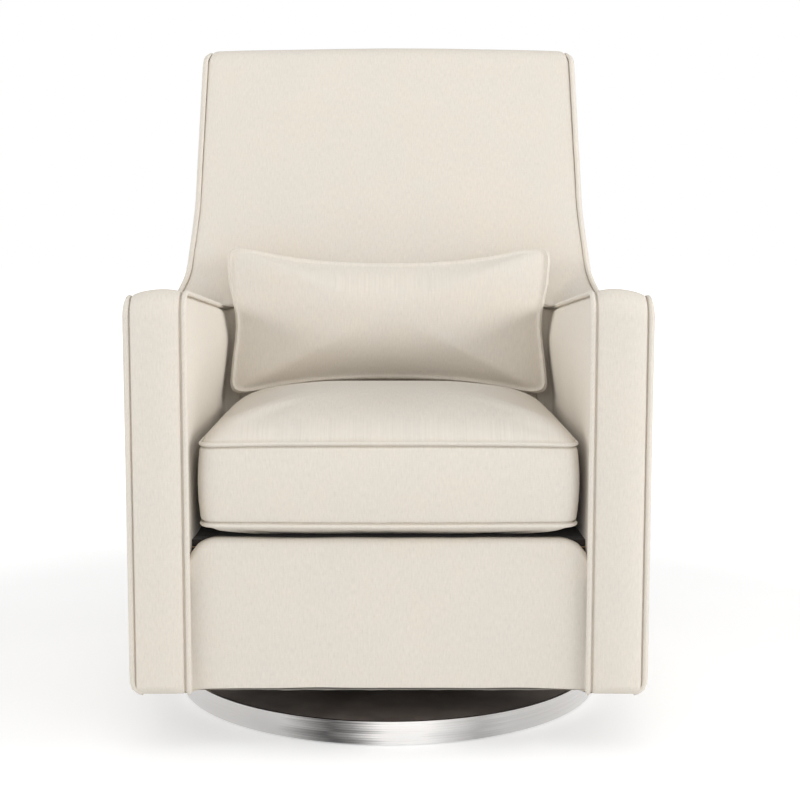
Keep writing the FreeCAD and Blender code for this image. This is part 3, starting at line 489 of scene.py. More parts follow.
def cloth(name, light, dark, pitch=0.0009, angle=0.0, weave=0.35):
    """Woven cotton and linen cloth: threads, slubs along the warp, faint warm and cool mottling and a
    little fuzz. The places come from the mesh, in metres."""
    nodes = Nodes(name)
    places = nodes.add("ShaderNodeUVMap", uv_map="weave").outputs["UV"]
    if angle:
        turned = nodes.add("ShaderNodeMapping", {"Vector": places, "Rotation": (0.0, 0.0, angle)})
        places = turned.outputs["Vector"]
    solid = nodes.solid()
    warp = nodes.noise(nodes.stretched(places, (620.0, 75.0, 1.0)), 1.0, 2.0, 0.6)
    weft = nodes.noise(nodes.stretched(places, (95.0, 700.0, 1.0)), 1.0, 2.0, 0.6)
    slub = nodes.noise(nodes.stretched(places, (330.0, 62.0, 1.0)), 1.0, 4.0, 0.7)
    mottle = nodes.noise(solid, 9.0, 4.0, 0.6)
    cloudy = nodes.noise(solid, 38.0, 4.0, 0.65)
    knots = nodes.noise(nodes.stretched(places, (430.0, 120.0, 1.0)), 1.0, 2.0, 0.5)
    threads = thread_height(nodes, places, pitch)
    yarn = nodes.total((warp, 0.45), (weft, 0.25), (slub, 0.30))
    tone = nodes.ramp(yarn, [(0.36, dark), (0.60, light)])
    warm = tuple(c * k for c, k in zip(light, (1.020, 1.0, 0.970)))
    cool = tuple(c * k for c, k in zip(light, (0.950, 0.965, 0.985)))
    tint = nodes.ramp(nodes.total((mottle, 0.6), (cloudy, 0.4)), [(0.38, cool), (0.62, warm)])
    mixed = nodes.add("ShaderNodeMix", {0: 0.45, 6: tone, 7: tint}, data_type="RGBA").outputs[2]
    flecks = nodes.ramp(knots, [(place, grey(tone)) for place, tone in fleck_tones])
    nodes.link(nodes.tinted(mixed, flecks), "Base Color")
    fine = nodes.bump(nodes.total((threads, weave), (yarn, 0.65)), 0.22, 0.0006)
    nodes.link(nodes.bump(nodes.noise(solid, 55.0, 3.0), 0.10, 0.0012, fine), "Normal")
    nodes.link(nodes.ramp(yarn, [(0.3, grey(0.94)), (0.7, grey(0.86))]), "Roughness")
    nodes.set(Sheen_Weight=0.12, Sheen_Roughness=0.6, Specular_IOR_Level=0.18)
    return nodes.material


# How many times the painted reflection streaks repeat round the band
painted_reflection_repeats = 3.0
# Painted reflection streaks: places across a third of the band, with its middle at 0.5, and how light the
# painted reflection makes the steel there
painted_reflection_streaks = [(0.0, 0.80), (0.16, 0.78), (0.27, 0.66), (0.33, 0.30), (0.38, 0.10), (0.43, 0.30),
                 (0.485, 0.95), (0.57, 1.0), (0.63, 0.72), (0.69, 0.50), (0.76, 0.68), (1.0, 0.80)]


def brushed_steel():
    """Stainless band: fine brushing that runs round it, over broad light and dark streaks of painted
    reflection that stand upright on it. The painted reflection streaks repeat three times round the band."""
    nodes = Nodes("steel_band_painted_reflection_finish")
    solid = nodes.solid()
    lines = nodes.noise(nodes.stretched(solid, (5.0, 5.0, 2600.0)), 1.0, 3.0, 0.7)
    broad = nodes.noise(nodes.stretched(solid, (2.0, 2.0, 420.0)), 1.0, 2.0, 0.6)
    smudge = nodes.noise(solid, 14.0, 4.0, 0.6)
    both = nodes.total((lines, 0.5), (broad, 0.5))
    split = nodes.add("ShaderNodeSeparateXYZ", {"Vector": solid})
    ahead = nodes.math("MULTIPLY", split.outputs["Y"], -1.0)
    turn = nodes.math("ARCTAN2", split.outputs["X"], ahead)
    ragged = nodes.math("MULTIPLY_ADD", nodes.math("SUBTRACT", both, 0.5), 0.45, turn)
    share = nodes.math("FRACT", nodes.math("MULTIPLY_ADD", ragged, painted_reflection_repeats / (2.0 * math.pi), 0.5))
    stops = [(place, (tone, tone * 0.985, tone * 0.975)) for place, tone in painted_reflection_streaks]
    grain = nodes.ramp(both, [(0.3, grey(0.86)), (0.7, grey(1.0))])
    # Base colour: the painted reflection streaks round the band, times the brushing's grain
    nodes.link(nodes.tinted(nodes.ramp(share, stops), grain), "Base Color")
    rough = nodes.total((both, 0.10), (smudge, 0.10))
    nodes.link(nodes.math("ADD", rough, 0.14), "Roughness")
    nodes.link(nodes.bump(both, 0.10, 0.0002), "Normal")
    tangent = nodes.add("ShaderNodeTangent", direction_type="RADIAL", axis="Z")
    nodes.link(tangent.outputs["Tangent"], "Tangent")
    nodes.set(Metallic=1.0, Anisotropic=0.6)
    return nodes.material


def metal(name, light, dark, roughness, scratches=300.0):
    """Rolled or plated steel with fine scratches and uneven gloss."""
    nodes = Nodes(name)
    solid = nodes.solid()
    grain = nodes.noise(nodes.stretched(solid, (scratches, 20.0, scratches)), 1.0, 3.0, 0.7)
    patch = nodes.noise(solid, 26.0, 4.0, 0.6)
    nodes.link(nodes.ramp(nodes.math("MULTIPLY", nodes.math("ADD", grain, patch), 0.5),
                          [(0.35, dark), (0.65, light)]), "Base Color")
    nodes.link(nodes.math("MULTIPLY_ADD", patch, 0.22, roughness), "Roughness")
    nodes.link(nodes.bump(grain, 0.10, 0.0003), "Normal")
    nodes.set(Metallic=0.9)
    return nodes.material


def moulded(name, light, dark, roughness):
    """Moulded rubber or plastic: fine pebbled skin and uneven gloss."""
    nodes = Nodes(name)
    solid = nodes.solid()
    pebble = nodes.noise(solid, 900.0, 2.0, 0.6)
    patch = nodes.noise(solid, 18.0, 4.0, 0.6)
    nodes.link(nodes.ramp(patch, [(0.35, dark), (0.65, light)]), "Base Color")
    nodes.link(nodes.math("MULTIPLY_ADD", patch, 0.15, roughness), "Roughness")
    nodes.link(nodes.bump(pebble, 0.18, 0.0003), "Normal")
    return nodes.material


def wood(name, light, dark, stretch, layers=0.0):
    """Planed wood with grain along one axis. Layers above 0 add the edge lines of plywood."""
    nodes = Nodes(name)
    solid = nodes.solid()
    warped = nodes.add("ShaderNodeTexNoise", {"Vector": solid, "Scale": 5.0, "Detail": 2.0})
    bent = nodes.add("ShaderNodeMix", {0: 0.03, 4: solid, 5: warped.outputs["Color"]}, data_type="VECTOR")
    grain = nodes.noise(nodes.stretched(bent.outputs[1], stretch), 1.0, 5.0, 0.6)
    pores = nodes.noise(nodes.stretched(solid, tuple(s * 7.0 for s in stretch)), 1.0, 2.0, 0.6)
    value = nodes.total((grain, 0.75), (pores, 0.25))
    if layers:
        split = nodes.add("ShaderNodeSeparateXYZ", {"Vector": solid})
        wave = nodes.math("SINE", nodes.math("MULTIPLY", split.outputs["X"], 2.0 * math.pi / layers))
        value = nodes.math("MULTIPLY_ADD", wave, 0.07, grain)
    nodes.link(nodes.ramp(value, [(0.32, dark), (0.68, light)]), "Base Color")
    nodes.link(nodes.ramp(value, [(0.3, grey(0.72)), (0.7, grey(0.58))]), "Roughness")
    nodes.link(nodes.bump(value, 0.15, 0.0006), "Normal")
    return nodes.material


def foam():
    nodes = Nodes("foam_finish")
    solid = nodes.solid()
    cells = nodes.add("ShaderNodeTexVoronoi", {"Vector": solid, "Scale": 700.0}).outputs["Distance"]
    patch = nodes.noise(solid, 12.0)
    nodes.link(nodes.ramp(patch, [(0.3, (0.80, 0.72, 0.50)), (0.7, (0.88, 0.82, 0.62))]), "Base Color")
    nodes.link(nodes.bump(cells, 0.5, 0.0008), "Normal")
    nodes.set(Roughness=0.95)
    return nodes.material


cream_light = (0.775, 0.722, 0.643)
cream_dark = (0.690, 0.640, 0.566)

materials = {
    "cloth": cloth("upholstery_cloth", cream_light, cream_dark),
    "welt": cloth("welt_cloth", cream_light, cream_dark, angle=math.radians(45)),
    "foam": foam(),
    # Deck felt: dark cloth of its own, darkened further to near black to paint the shade in the gaps round
    # the cushion
    "felt": cloth("deck_felt_and_painted_shade_cloth", (0.036, 0.031, 0.027), (0.018, 0.015, 0.013), 0.0014),
    "dust": cloth("dust_cover_cloth", (0.030, 0.030, 0.032), (0.014, 0.014, 0.015), 0.0012),
    "webbing": cloth("webbing_cloth", (0.20, 0.16, 0.10), (0.09, 0.07, 0.045), 0.0030, weave=0.9),
    "plywood": wood("plywood_finish", (0.72, 0.56, 0.36), (0.55, 0.39, 0.22), (60.0, 60.0, 5.0), 0.0036),
    "hardwood": wood("hardwood_finish", (0.62, 0.44, 0.26), (0.42, 0.27, 0.14), (6.0, 70.0, 70.0)),
    "steel": brushed_steel(),
    "board": moulded("dark_board_finish", (0.260, 0.218, 0.194), (0.170, 0.142, 0.126), 0.42),
    "glide": moulded("glide_finish", (0.060, 0.060, 0.062), (0.035, 0.035, 0.036), 0.40),
    "nylon": moulded("nylon_finish", (0.74, 0.72, 0.66), (0.64, 0.62, 0.56), 0.38),
    "rubber": moulded("rubber_finish", (0.030, 0.030, 0.031), (0.016, 0.016, 0.017), 0.66),
    "spring": metal("spring_steel_finish", (0.24, 0.24, 0.25), (0.10, 0.10, 0.11), 0.30),
    "black": metal("black_steel_finish", (0.050, 0.050, 0.053), (0.022, 0.022, 0.024), 0.38),
    "zinc": metal("zinc_steel_finish", (0.62, 0.62, 0.60), (0.42, 0.43, 0.43), 0.28),
}

slot_materials = {
    "upholstery_fabric": "cloth", "welt_fabric": "welt", "foam": "foam", "deck_felt": "felt",
    "dust_cloth": "dust", "webbing": "webbing", "plywood": "plywood", "hardwood": "hardwood",
    "brushed_steel": "steel", "dark_board": "board", "glide_plastic": "glide", "nylon": "nylon",
    "rubber": "rubber", "spring_steel": "spring", "black_steel": "black", "zinc_steel": "zinc",
}


def finish_frame():
    """Give every node of the frame the finish that its slot names."""
    slots = {part["node"]: part["material_slot"] for part in frame["record"]["subparts"]}
    for node, slot in slots.items():
        mesh = bpy.data.objects[node].data
        places = [(v.co.x + v.co.y, v.co.z + v.co.y) for v in mesh.vertices]
        if not mesh.uv_layers:
            face_uv(mesh, places)
        mesh.uv_layers[0].name = "weave"
        for material_slot in bpy.data.objects[node].material_slots:
            material_slot.link = "OBJECT"
            material_slot.material = materials[slot_materials[slot]]


# Arms
boxing_columns = 26
boxing_fade = 0.30               # length over which the padded strip flattens ahead of the sweep
boxing_foot_fade = 0.006         # height over which it fills out above its foot
nose_steps, front_steps, arm_top_steps = 14, 76, 48
hook_steps = 12
hook_rise = 0.006                # how much higher the seam lies at the hook's end
inner_rows, inner_columns = 60, 60
inner_foot_z = deck_top_z - 0.05
inner_lean_start_y = 0.03
inner_bulge = 0.012              # how far an arm's inside swells out beside the pillow
inner_bulge_foot = 0.455         # height at which that swelling starts
inner_bulge_rise = 0.09          # height over which it grows
inner_bulge_run = 0.40           # depth over which it grows, from the arm's front
inner_bulge_reach = 0.030        # width beside a seam in which it fades
inner_bulge_end = 0.05           # depth ahead of the back in which it fades


def boxing_profile(x):
    """(y, z) points up the front of an arm and along its top, to the seam before the sweep."""
    nose = corner_arc((arm_front_y, body_bottom_z), (arm_front_y, arm_top_z(x, arm_front_y)),
                      (boxing_end_y, arm_top_z(x, boxing_end_y)), arm_nose_radius, nose_steps)
    front = straight((arm_front_y, body_bottom_z), nose[0], front_steps)
    top = straight(nose[-1], (boxing_end_y, arm_top_z(x, boxing_end_y)), arm_top_steps)
    return [(arm_front_y, body_bottom_z)] + front + nose[1:] + top


def arm_boxing(name, side):
    """Padded strip between an arm's two welts."""
    inner, outer = arm_inner_x + welt_sink, arm_outer_x - welt_sink
    columns = [lerp(inner, outer, (1.0 - math.cos(math.pi * c / boxing_columns)) / 2.0)
               for c in range(boxing_columns + 1)]
    grid = np.array([[(x * side, y, z) for y, z in boxing_profile(x)] for x in columns])
    grid = with_seam_lines(grid.transpose(1, 0, 2), ["start", "end"])
    across = grown(np.abs(grid[:, :, 0]) - inner, outer - inner)
    crown = arm_crown * (4.0 * across * (1.0 - across)) ** 0.8
    fade = grown(boxing_end_y - grid[:, :, 1], boxing_fade) ** 0.7
    corner = grown(grid[:, :, 2] - body_bottom_z, boxing_foot_fade) ** 0.5
    lift = grid_normals(grid) * (crown * fade * corner)[:, :, None] * -side
    grid = padded_grid(grid + lift, ["start", "end"], outward=-side, seed=3 + side)
    grid = turned_under(grid, side)
    title = "arm_boxing_cover_" + name
    return cover(title, grid_mesh(title, grid, side < 0), "arm_boxing_" + name)


def turned_under(grid, side):
    """Round the strip's lower outside corner, as the body's outline is."""
    corner_x, corner_z = arm_outer_x - body_corner_radius, body_bottom_z + body_corner_radius
    result = grid.copy()
    for r in range(grid.shape[0]):
        for c in range(grid.shape[1]):
            x, y, z = grid[r, c]
            away = Vector((abs(x) - corner_x, z - corner_z))
            if away.x > 0.0 and away.y < 0.0 and away.length > body_corner_radius:
                away = away.normalized() * body_corner_radius
                result[r, c] = ((corner_x + away.x) * side, y, corner_z + away.y)
    return result


def hook_turn(steps):
    """Plan of the arm's inner cover where it turns in to meet the back, as (x, y) points."""
    corner_y = sweep_corner(arm_inner_x)[0]
    angles = np.linspace(0.0, math.pi / 2.0, steps + 1)
    return [(arm_inner_x - hook_width * (1.0 - math.cos(a)), corner_y - hook_width * (1.0 - math.sin(a)))
            for a in angles]


def hook_z(x, y):
    """Height of the seam along the arm's inside edge and round the hook."""
    rise = hook_rise * smooth((arm_inner_x - x) / hook_width)
    return arm_top_z(arm_inner_x, y) + rise


def arm_inner_cover(name, side):
    """Cover inside an arm, from below the cushion to the welt, that turns in to meet the back."""
    corner_y, corner_z = sweep_corner(arm_inner_x)
    start = (arm_inner_x, arm_front_y + 0.002)
    turn = hook_turn(hook_steps)
    plan = [start] + straight(start, turn[0], inner_columns) + turn[1:]
    grid = []
    for x, y in plan:
        top = hook_z(x, y) - welt_sink
        nose_ahead = arm_front_y + arm_nose_radius - y
        if nose_ahead > 0.0:
            top -= arm_nose_radius - math.sqrt(max(0.0, arm_nose_radius ** 2 - nose_ahead ** 2))
        column = []
        for r in range(inner_rows + 1):
            z = lerp(inner_foot_z, top, r / inner_rows)
            lean = min(0.0, back_lean * (z - corner_z))
            lean *= smooth((y - inner_lean_start_y) / (corner_y - inner_lean_start_y))
            column.append((x * side, y + lean, z))
        grid.append(column)
    grid = with_seam_lines(np.array(grid).transpose(1, 0, 2), ["start", "top"])
    distance = edge_distance(grid, ["start", "top"])
    height = grown(grid[:, :, 2] - inner_bulge_foot, inner_bulge_rise)
    behind = grown(grid[:, :, 1] - arm_front_y, inner_bulge_run)
    beside_back = grown(corner_y - grid[:, :, 1], inner_bulge_end) ** 0.5
    off_seam = 1.0 - np.exp(-distance / inner_bulge_reach)
    bulge = inner_bulge * height * behind ** 0.7 * off_seam * beside_back
    grid = grid + np.array([-side, 0.0, 0.0]) * bulge[:, :, None]
    grid = padded_grid(grid, ["start", "top"], crown=0.005, reach=0.04, outward=side, seed=7 + side,
                       unevenness=0.0012)
    title = "arm_inner_cover_" + name
    return cover(title, grid_mesh(title, grid, side > 0), "arm_inner_panel_" + name)


# Back
lead_rows, arc_rows, face_rows, crest_rows, top_rows = 12, 18, 60, 10, 14
sweep_rows = lead_rows + arc_rows
ear_columns = 18
half_columns = 40                # columns from the middle to an arm's inside face
back_crown = 0.008
back_crown_reach = 0.09          # width beside a seam in which the crown fades
back_crown_start = 0.04          # how far below the pillow's top the crown begins
back_crown_rise = 0.14           # height over which it grows
back_crown_end = 0.10            # height below the crest over which it fades
back_unevenness = 0.0011
back_lump_size = 0.11
crown_lift_z = 0.7               # height from which the face follows the crest's rise
lower_back_rows = 40
lower_back_overlap = 0.004       # how far the lower cover reaches behind the upper one
lower_back_set = 0.0022          # how far behind the upper cover's plane it lies


def back_profile(x):
    """(y, z) points at x from the start of the sweep to the rear edge of the crest."""
    corner = sweep_corner(x)
    crest = crest_z(x)
    start = (boxing_end_y, arm_top_z(x, boxing_end_y))
    arc = corner_arc(start, corner, (back_face_y(crest), crest), sweep_radius(x), arc_rows)
    arc = [start] + straight(start, arc[0], lead_rows) + arc[1:]
    roll = corner_arc(corner, (back_face_y(crest), crest), (rear_face_y(crest), crest), back_crest_radius,
                      crest_rows)
    face = straight(arc[-1], roll[0], face_rows)
    top = straight(roll[-1], (rear_face_y(crest) - welt_sink, crest), top_rows)
    return arc + face + roll[1:] + top


def centre_profile(x):
    """The same between the arms, where the sweep dies out into the flat face."""
    edge = back_profile(arm_inner_x)
    start_z = sweep_corner(arm_inner_x)[1]
    crest = crest_z(x)
    flat = back_profile(arm_inner_x)
    for i in range(sweep_rows + 1):
        z = lerp(start_z, edge[sweep_rows][1], i / sweep_rows)
        flat[i] = (back_face_y(z), z)
    shift = crest - crest_z(arm_inner_x)
    share = max(0.0, (abs(x) - arm_inner_x + hook_width) / hook_width)
    blend = 1.0 - math.sqrt(max(0.0, 1.0 - share ** 2))
    points = []
    for i in range(len(edge)):
        y = lerp(flat[i][0], edge[i][0], blend)
        z = lerp(flat[i][1], edge[i][1], blend)
        rise = shift * smooth((z - crown_lift_z) / (back_top_z - back_crest_radius - crown_lift_z))
        points.append((y + rise * back_lean, z + rise))
    return points


def ear_column(share):
    """Column of the back beside an arm: 0 at the arm's inside face, 1 at the body's outline."""
    points = []
    for row in range(len(back_profile(arm_inner_x))):
        x = lerp(arm_inner_x, arm_outer_x, share)
        for _ in range(5):
            y, z = back_profile(x)[row]
            x = lerp(arm_inner_x, body_half(z) - welt_sink, share)
        points.append((x, y, z))
    return points


def back_columns():
    """Columns of the whole back from its left edge to its right, as (x, y, z) points."""
    shares = [(math.sin(math.pi * (c / ear_columns - 0.5)) + 1.0) / 2.0 for c in range(1, ear_columns + 1)]
    ears = [ear_column(share) for share in shares]
    centre = []
    for c in range(-half_columns, half_columns + 1):
        x = arm_inner_x * c / half_columns
        centre.append([(x, y, z) for y, z in centre_profile(x)])
    left = [[(-x, y, z) for x, y, z in column] for column in reversed(ears)]
    return left + centre + ears


def back_cover():
    """Cover of the inside back: the face, the sweeps over the arms and the rolled crest."""
    grid = with_seam_lines(np.array(back_columns()).transpose(1, 0, 2), ["start", "end", "top"])
    normals = grid_normals(grid)
    distance = edge_distance(grid, ["start", "end"])
    seam = edge_distance(grid, ["start", "end", "top"])
    heights = grid[:, :, 2]
    above = grown(heights - pillow_top_z + back_crown_start, back_crown_rise)
    above = above * above * (3.0 - 2.0 * above)
    below_crest = grown(back_top_z - heights, back_crown_end)
    crown = back_crown * (1.0 - np.exp(-distance / back_crown_reach)) * above * below_crest
    uneven = back_unevenness * grown(distance, calm_width) * lumps(grid, back_lump_size, 21)
    push = crown - dip(seam) + uneven + puckers(grid, seam, 21)
    grid = grid - normals * push[:, :, None]
    return cover("back_cover", grid_mesh("back_cover", grid, True), "inside_back")


def lower_back_cover():
    """The back's face between the arms, from the deck up to the cover above it."""
    half = arm_inner_x - hook_width + 0.002
    top = sweep_corner(arm_inner_x)[1] + lower_back_overlap
    grid = []
    for r in range(lower_back_rows + 1):
        z = lerp(deck_top_z, top, r / lower_back_rows)
        grid.append([(half * c / half_columns, back_face_y(z), z)
                     for c in range(-half_columns, half_columns + 1)])
    grid = padded_grid(np.array(grid), ["foot"], outward=-1.0, seed=25, unevenness=0.0010)
    grid[:, :, 1] += lower_back_set
    return cover("lower_back_cover", grid_mesh("lower_back_cover", grid), "inside_back")


# Outside
shell_turn = 0.04                # length over which the side turns from the arm's plane to the body's
shell_foot_z = 0.3               # below this the side follows the body's outline all along
outer_rows = 70
lower_edge_points = 400
rear_end_drop = 0.03             # how far below the crest the side cover's rear corner lies
rear_rows, rear_columns = 110, 80
rear_crest_share = 0.9           # share of the rear's height from which the rows follow the crest
apron_columns = 90
apron_crest_z = 0.3035
apron_end_width = 0.040
apron_end_drop = 0.034
apron_roll_radius = 0.012
apron_foot_radius = 0.004
apron_overlap = 0.0015           # how far the apron's ends reach into the arms
lip_step = 0.004
lip_half_columns = 50
lip_clearance = 0.002
hem_width = 0.045
hem_rows = 8
hem_step = 0.012
hem_inset = 0.002


def shell_half(y, z):
    """Half width of the body at a point of its side: straight up ahead of the sweep."""
    share = smooth((y + shell_turn / 2.0 - boxing_end_y) / shell_turn)
    if z > shell_foot_z and share < 1.0:
        return lerp(arm_outer_x, body_half(z), share)
    return body_half(z)


def upper_edge():
    """Line of the outer welt from the arm's nose over the sweep and the crest to the rear."""
    arm = [(arm_outer_x, y, z) for y, z in boxing_profile(arm_outer_x)]
    start = max(i for i, p in enumerate(arm) if p[1] <= arm_front_y)
    return arm[start:] + ear_column(1.0)[1:]


def lower_edge(count):
    """As many points along the body's bottom and up its rear."""
    rear_end = crest_z(top_corner[0]) - rear_end_drop
    line = [(arm_front_y, body_bottom_z), (rear_foot_y, body_bottom_z), (rear_face_y(rear_end), rear_end)]
    length = rear_foot_y - arm_front_y + rear_end - body_bottom_z
    return evenly(line, length / (count - 1))[:count]


def outer_cover(name, side):
    """Cover of the arm's outside and of the back above it, as one piece of cloth."""
    upper = [Vector(p[1:]) for p in upper_edge()]
    travel = [0.0]
    for before, after in zip(upper, upper[1:]):
        travel.append(travel[-1] + (after - before).length)
    lower = lower_edge(lower_edge_points)
    grid = []
    for place, top in zip(travel, upper):
        foot = lower[round(place / travel[-1] * (len(lower) - 1))]
        column = []
        for r in range(outer_rows + 1):
            y, z = foot.lerp(top, r / outer_rows)
            column.append((shell_half(y, z) * side, y, z))
        grid.append(column)
    grid = with_seam_lines(np.array(grid).transpose(1, 0, 2), ["start", "end", "top"])
    places = np.stack([grid[:, :, 1], grid[:, :, 2]], axis=2)
    grid = padded_grid(grid, ["start", "end", "top"], crown=0.0035, reach=0.06, outward=side,
                       seed=11 + side, unevenness=0.0010)
    title = "arm_outer_cover_" + name
    return cover(title, grid_mesh(title, grid, side < 0, places), "arm_outer_panel_" + name)


def rear_cover():
    """Cover behind the body, from its bottom to the crest."""
    grid = []
    for r in range(rear_rows + 1):
        line = []
        for c in range(rear_columns + 1):
            share = 2.0 * c / rear_columns - 1.0
            z = lerp(body_bottom_z, top_corner[1], r / rear_rows)
            x = share * body_half(z)
            rise = smooth((r / rear_rows - rear_crest_share) / (1.0 - rear_crest_share))
            z += (crest_z(x) - top_corner[1]) * rise
            line.append((x, rear_face_y(z), z))
        grid.append(line)
    grid = with_seam_lines(np.array(grid), ["start", "end", "top"])
    grid = padded_grid(grid, ["start", "end", "top"], crown=0.0025, reach=0.08, outward=1.0, seed=15,
                       unevenness=0.0012)
    return cover("rear_cover", grid_mesh("rear_cover", grid), "outside_back")


def apron_top_z(x):
    """The rolled top of the apron drops at both ends."""
    beyond = max(0.0, abs(x) - (arm_inner_x - apron_end_width)) / apron_end_width
    return apron_crest_z - apron_end_drop * (1.0 - math.sqrt(max(0.0, 1.0 - beyond ** 2)))


def apron_cover():
    """Padded front under the cushion, turned under at the bottom and rolled over at the top."""
    front_y, rear_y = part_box("apron")[0].y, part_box("apron")[1].y
    columns = []
    half = arm_inner_x + apron_overlap
    for c in range(apron_columns + 1):
        x = half * math.sin(math.pi * (c / apron_columns - 0.5))
        top = apron_top_z(x)
        line = [(rear_y, body_bottom_z + 0.002), (front_y, body_bottom_z), (front_y, top),
                (rear_y + 0.02, top - 0.006)]
        foot = corner_arc(line[0], line[1], line[2], apron_foot_radius, 5)
        roll = corner_arc(line[1], line[2], line[3], apron_roll_radius, 10)
        profile = foot + straight(foot[-1], roll[0], 50) + roll[1:] + straight(roll[-1], line[3], 12)
        columns.append([(x, y, z) for y, z in profile])
    grid = np.array(columns).transpose(1, 0, 2)
    grid = padded_grid(with_seam_lines(grid, ["start", "end"]), ["start", "end"], crown=0.003, reach=0.05,
                       seed=17, unevenness=0.0010, depth=0.35)
    return cover("apron_cover", grid_mesh("apron_cover", grid), "apron")


def deck_lip_painted_shade():
    """Dark decking cloth over the front rail, behind the apron. Its near-black colour is painted shade for
    the gap under the cushion.
    """
    rear_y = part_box("apron")[1].y
    profile = [(rear_y + 0.030, deck_top_z + 0.0006), (rear_y + 0.004, deck_top_z - 0.006),
               (rear_y - 0.004, deck_top_z - 0.016), (rear_y - 0.006, deck_top_z - 0.070)]
    half = arm_inner_x - lip_clearance
    columns = [half * c / lip_half_columns for c in range(-lip_half_columns, lip_half_columns + 1)]
    grid = np.array([[(x, y, z) for x in columns] for y, z in evenly(profile, lip_step)])
    grid = grid + np.array([0.0, 0.0, 0.0006]) * lumps(grid, 0.02, 27)[:, :, None]
    piece = link("deck_lip_painted_shade", grid_mesh("deck_lip_painted_shade", grid, True))
    piece.data.materials.append(materials["felt"])
    return piece


def under_hem():
    """Cloth that is turned under the body and stapled all round its bottom."""
    half = arm_outer_x - body_corner_radius
    front_y, rear_y = arm_front_y + hem_inset, rear_foot_y - hem_inset
    apron_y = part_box("apron")[0].y + 2.0 * hem_inset
    outer = [(-half, front_y), (-arm_inner_x, front_y), (-arm_inner_x, apron_y), (arm_inner_x, apron_y),
             (arm_inner_x, front_y), (half, front_y), (half, rear_y), (-half, rear_y)]
    centre_y = (arm_front_y + rear_foot_y) / 2.0
    loop = []
    for i, corner in enumerate(outer):
        loop += evenly([Vector(corner), Vector(outer[(i + 1) % len(outer)])], hem_step)[:-1]
    loop.append(loop[0].copy())
    rows = []
    for r in range(hem_rows + 1):
        step = hem_width * r / hem_rows
        rise = 0.0004 + 0.010 * (r / hem_rows) ** 2
        rows.append([(p.x - math.copysign(step, p.x), p.y - math.copysign(step, p.y - centre_y),
                      body_bottom_z + rise) for p in loop])
    grid = np.array(rows)
    grid = grid + grid_normals(grid) * (0.0008 * lumps(grid, 0.02, 23))[:, :, None]
    piece = link("under_hem", grid_mesh("under_hem", grid, True))
    piece.data.materials.append(materials["cloth"])
    return piece


# Welts
curl_steps = 8
rear_welt_steps = 90
inner_foot_steps = 24
crest_steps = 80


def bottom_curl(y, from_inside):
    """Turn of a welt round the body's lower outside corner."""
    corner_x, corner_z = arm_outer_x - body_corner_radius, body_bottom_z + body_corner_radius
    points = []
    for a in np.linspace(math.pi / 2.0, 0.0, curl_steps + 1):
        points.append((corner_x + body_corner_radius * math.cos(a) - welt_sink, y,
                       corner_z - body_corner_radius * math.sin(a) + welt_sink))
    return points if from_inside else points[::-1]


def outer_welt(name, side):
    """One welt from the arm's foot over the nose, the sweep and the crest, and down the rear."""
    front = bottom_curl(arm_front_y + welt_sink, True)
    over = [(x - welt_sink, y, z) for x, y, z in upper_edge()]
    crest_rear = over[-1]
    rear = []
    for i in range(1, rear_welt_steps):
        z = lerp(crest_rear[2], body_bottom_z + body_corner_radius, i / rear_welt_steps)
        rear.append((body_half(z) - welt_sink, rear_face_y(z) - welt_sink, z))
    end = bottom_curl(rear_foot_y - welt_sink, False)
    path = [Vector((x * side, y, z)) for x, y, z in front + over + rear + end]
    piece = welt("outer_welt_" + name, path)
    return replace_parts(piece, "arm_welts_" + name)


def inner_welt(name, side):
    """Welt up the arm's front, back along its inner edge and round into the back's foot."""
    edge = [(arm_inner_x - welt_sink, y, z) for y, z in boxing_profile(arm_inner_x)]
    edge = [p for p in edge if p[1] < 0.0]
    start = [(arm_inner_x - welt_sink, arm_front_y + welt_sink, body_bottom_z - 0.002)]
    hook = [(x - welt_sink, y, hook_z(x, y)) for x, y in hook_turn(hook_steps)]
    last = hook[-1]
    down = []
    for i in range(1, inner_foot_steps + 1):
        z = lerp(last[2], deck_top_z + 0.02, i / inner_foot_steps)
        down.append((last[0], back_face_y(z) - 0.001, z))
    path = [Vector((x * side, y, z)) for x, y, z in start + edge[1:] + hook + down]
    return welt("inner_welt_" + name, path, radius=inner_welt_radius)


def crest_welt():
    """Welt between the crest and the rear cover."""
    points = []
    for i in range(crest_steps + 1):
        x = top_corner[0] * (2.0 * i / crest_steps - 1.0)
        z = crest_z(x)
        points.append(Vector((x, rear_face_y(z) - welt_sink, z - welt_sink)))
    return welt("crest_welt", points)


# Loose cushions
cushion_half = 0.2585
cushion_front_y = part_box("seat_cushion")[0].y + 0.003
cushion_rear_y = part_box("seat_cushion")[1].y - 0.008
cushion_corner = 0.026
cushion_bottom_seam_z = 0.319
cushion_top_seam_z = 0.4335
cushion_seam_drop = 0.0035       # how much lower the top seam lies at the cushion's corners
cushion_crown = 0.052
cushion_belly = 0.0225
cushion_bow = 0.005
cushion_side_bulge = 0.006
cushion_side_room = 0.0075       # furthest that the stuffing may push a side out
cushion_rings_inside = 18        # rings between a face's seam lines and its middle
under_fullness, over_fullness = 14, 8
crown_flat = 0.86                # share of a crown that rises at its shoulders
cushion_step = 0.007             # distance between points along its seams
border_steps = (0.02, 0.032, 0.044)
cushion_lift = 0.0012            # gap that stays over the deck
top_dip_share = 0.35             # share of the full dip beside the seams, on the cushion's top and underside

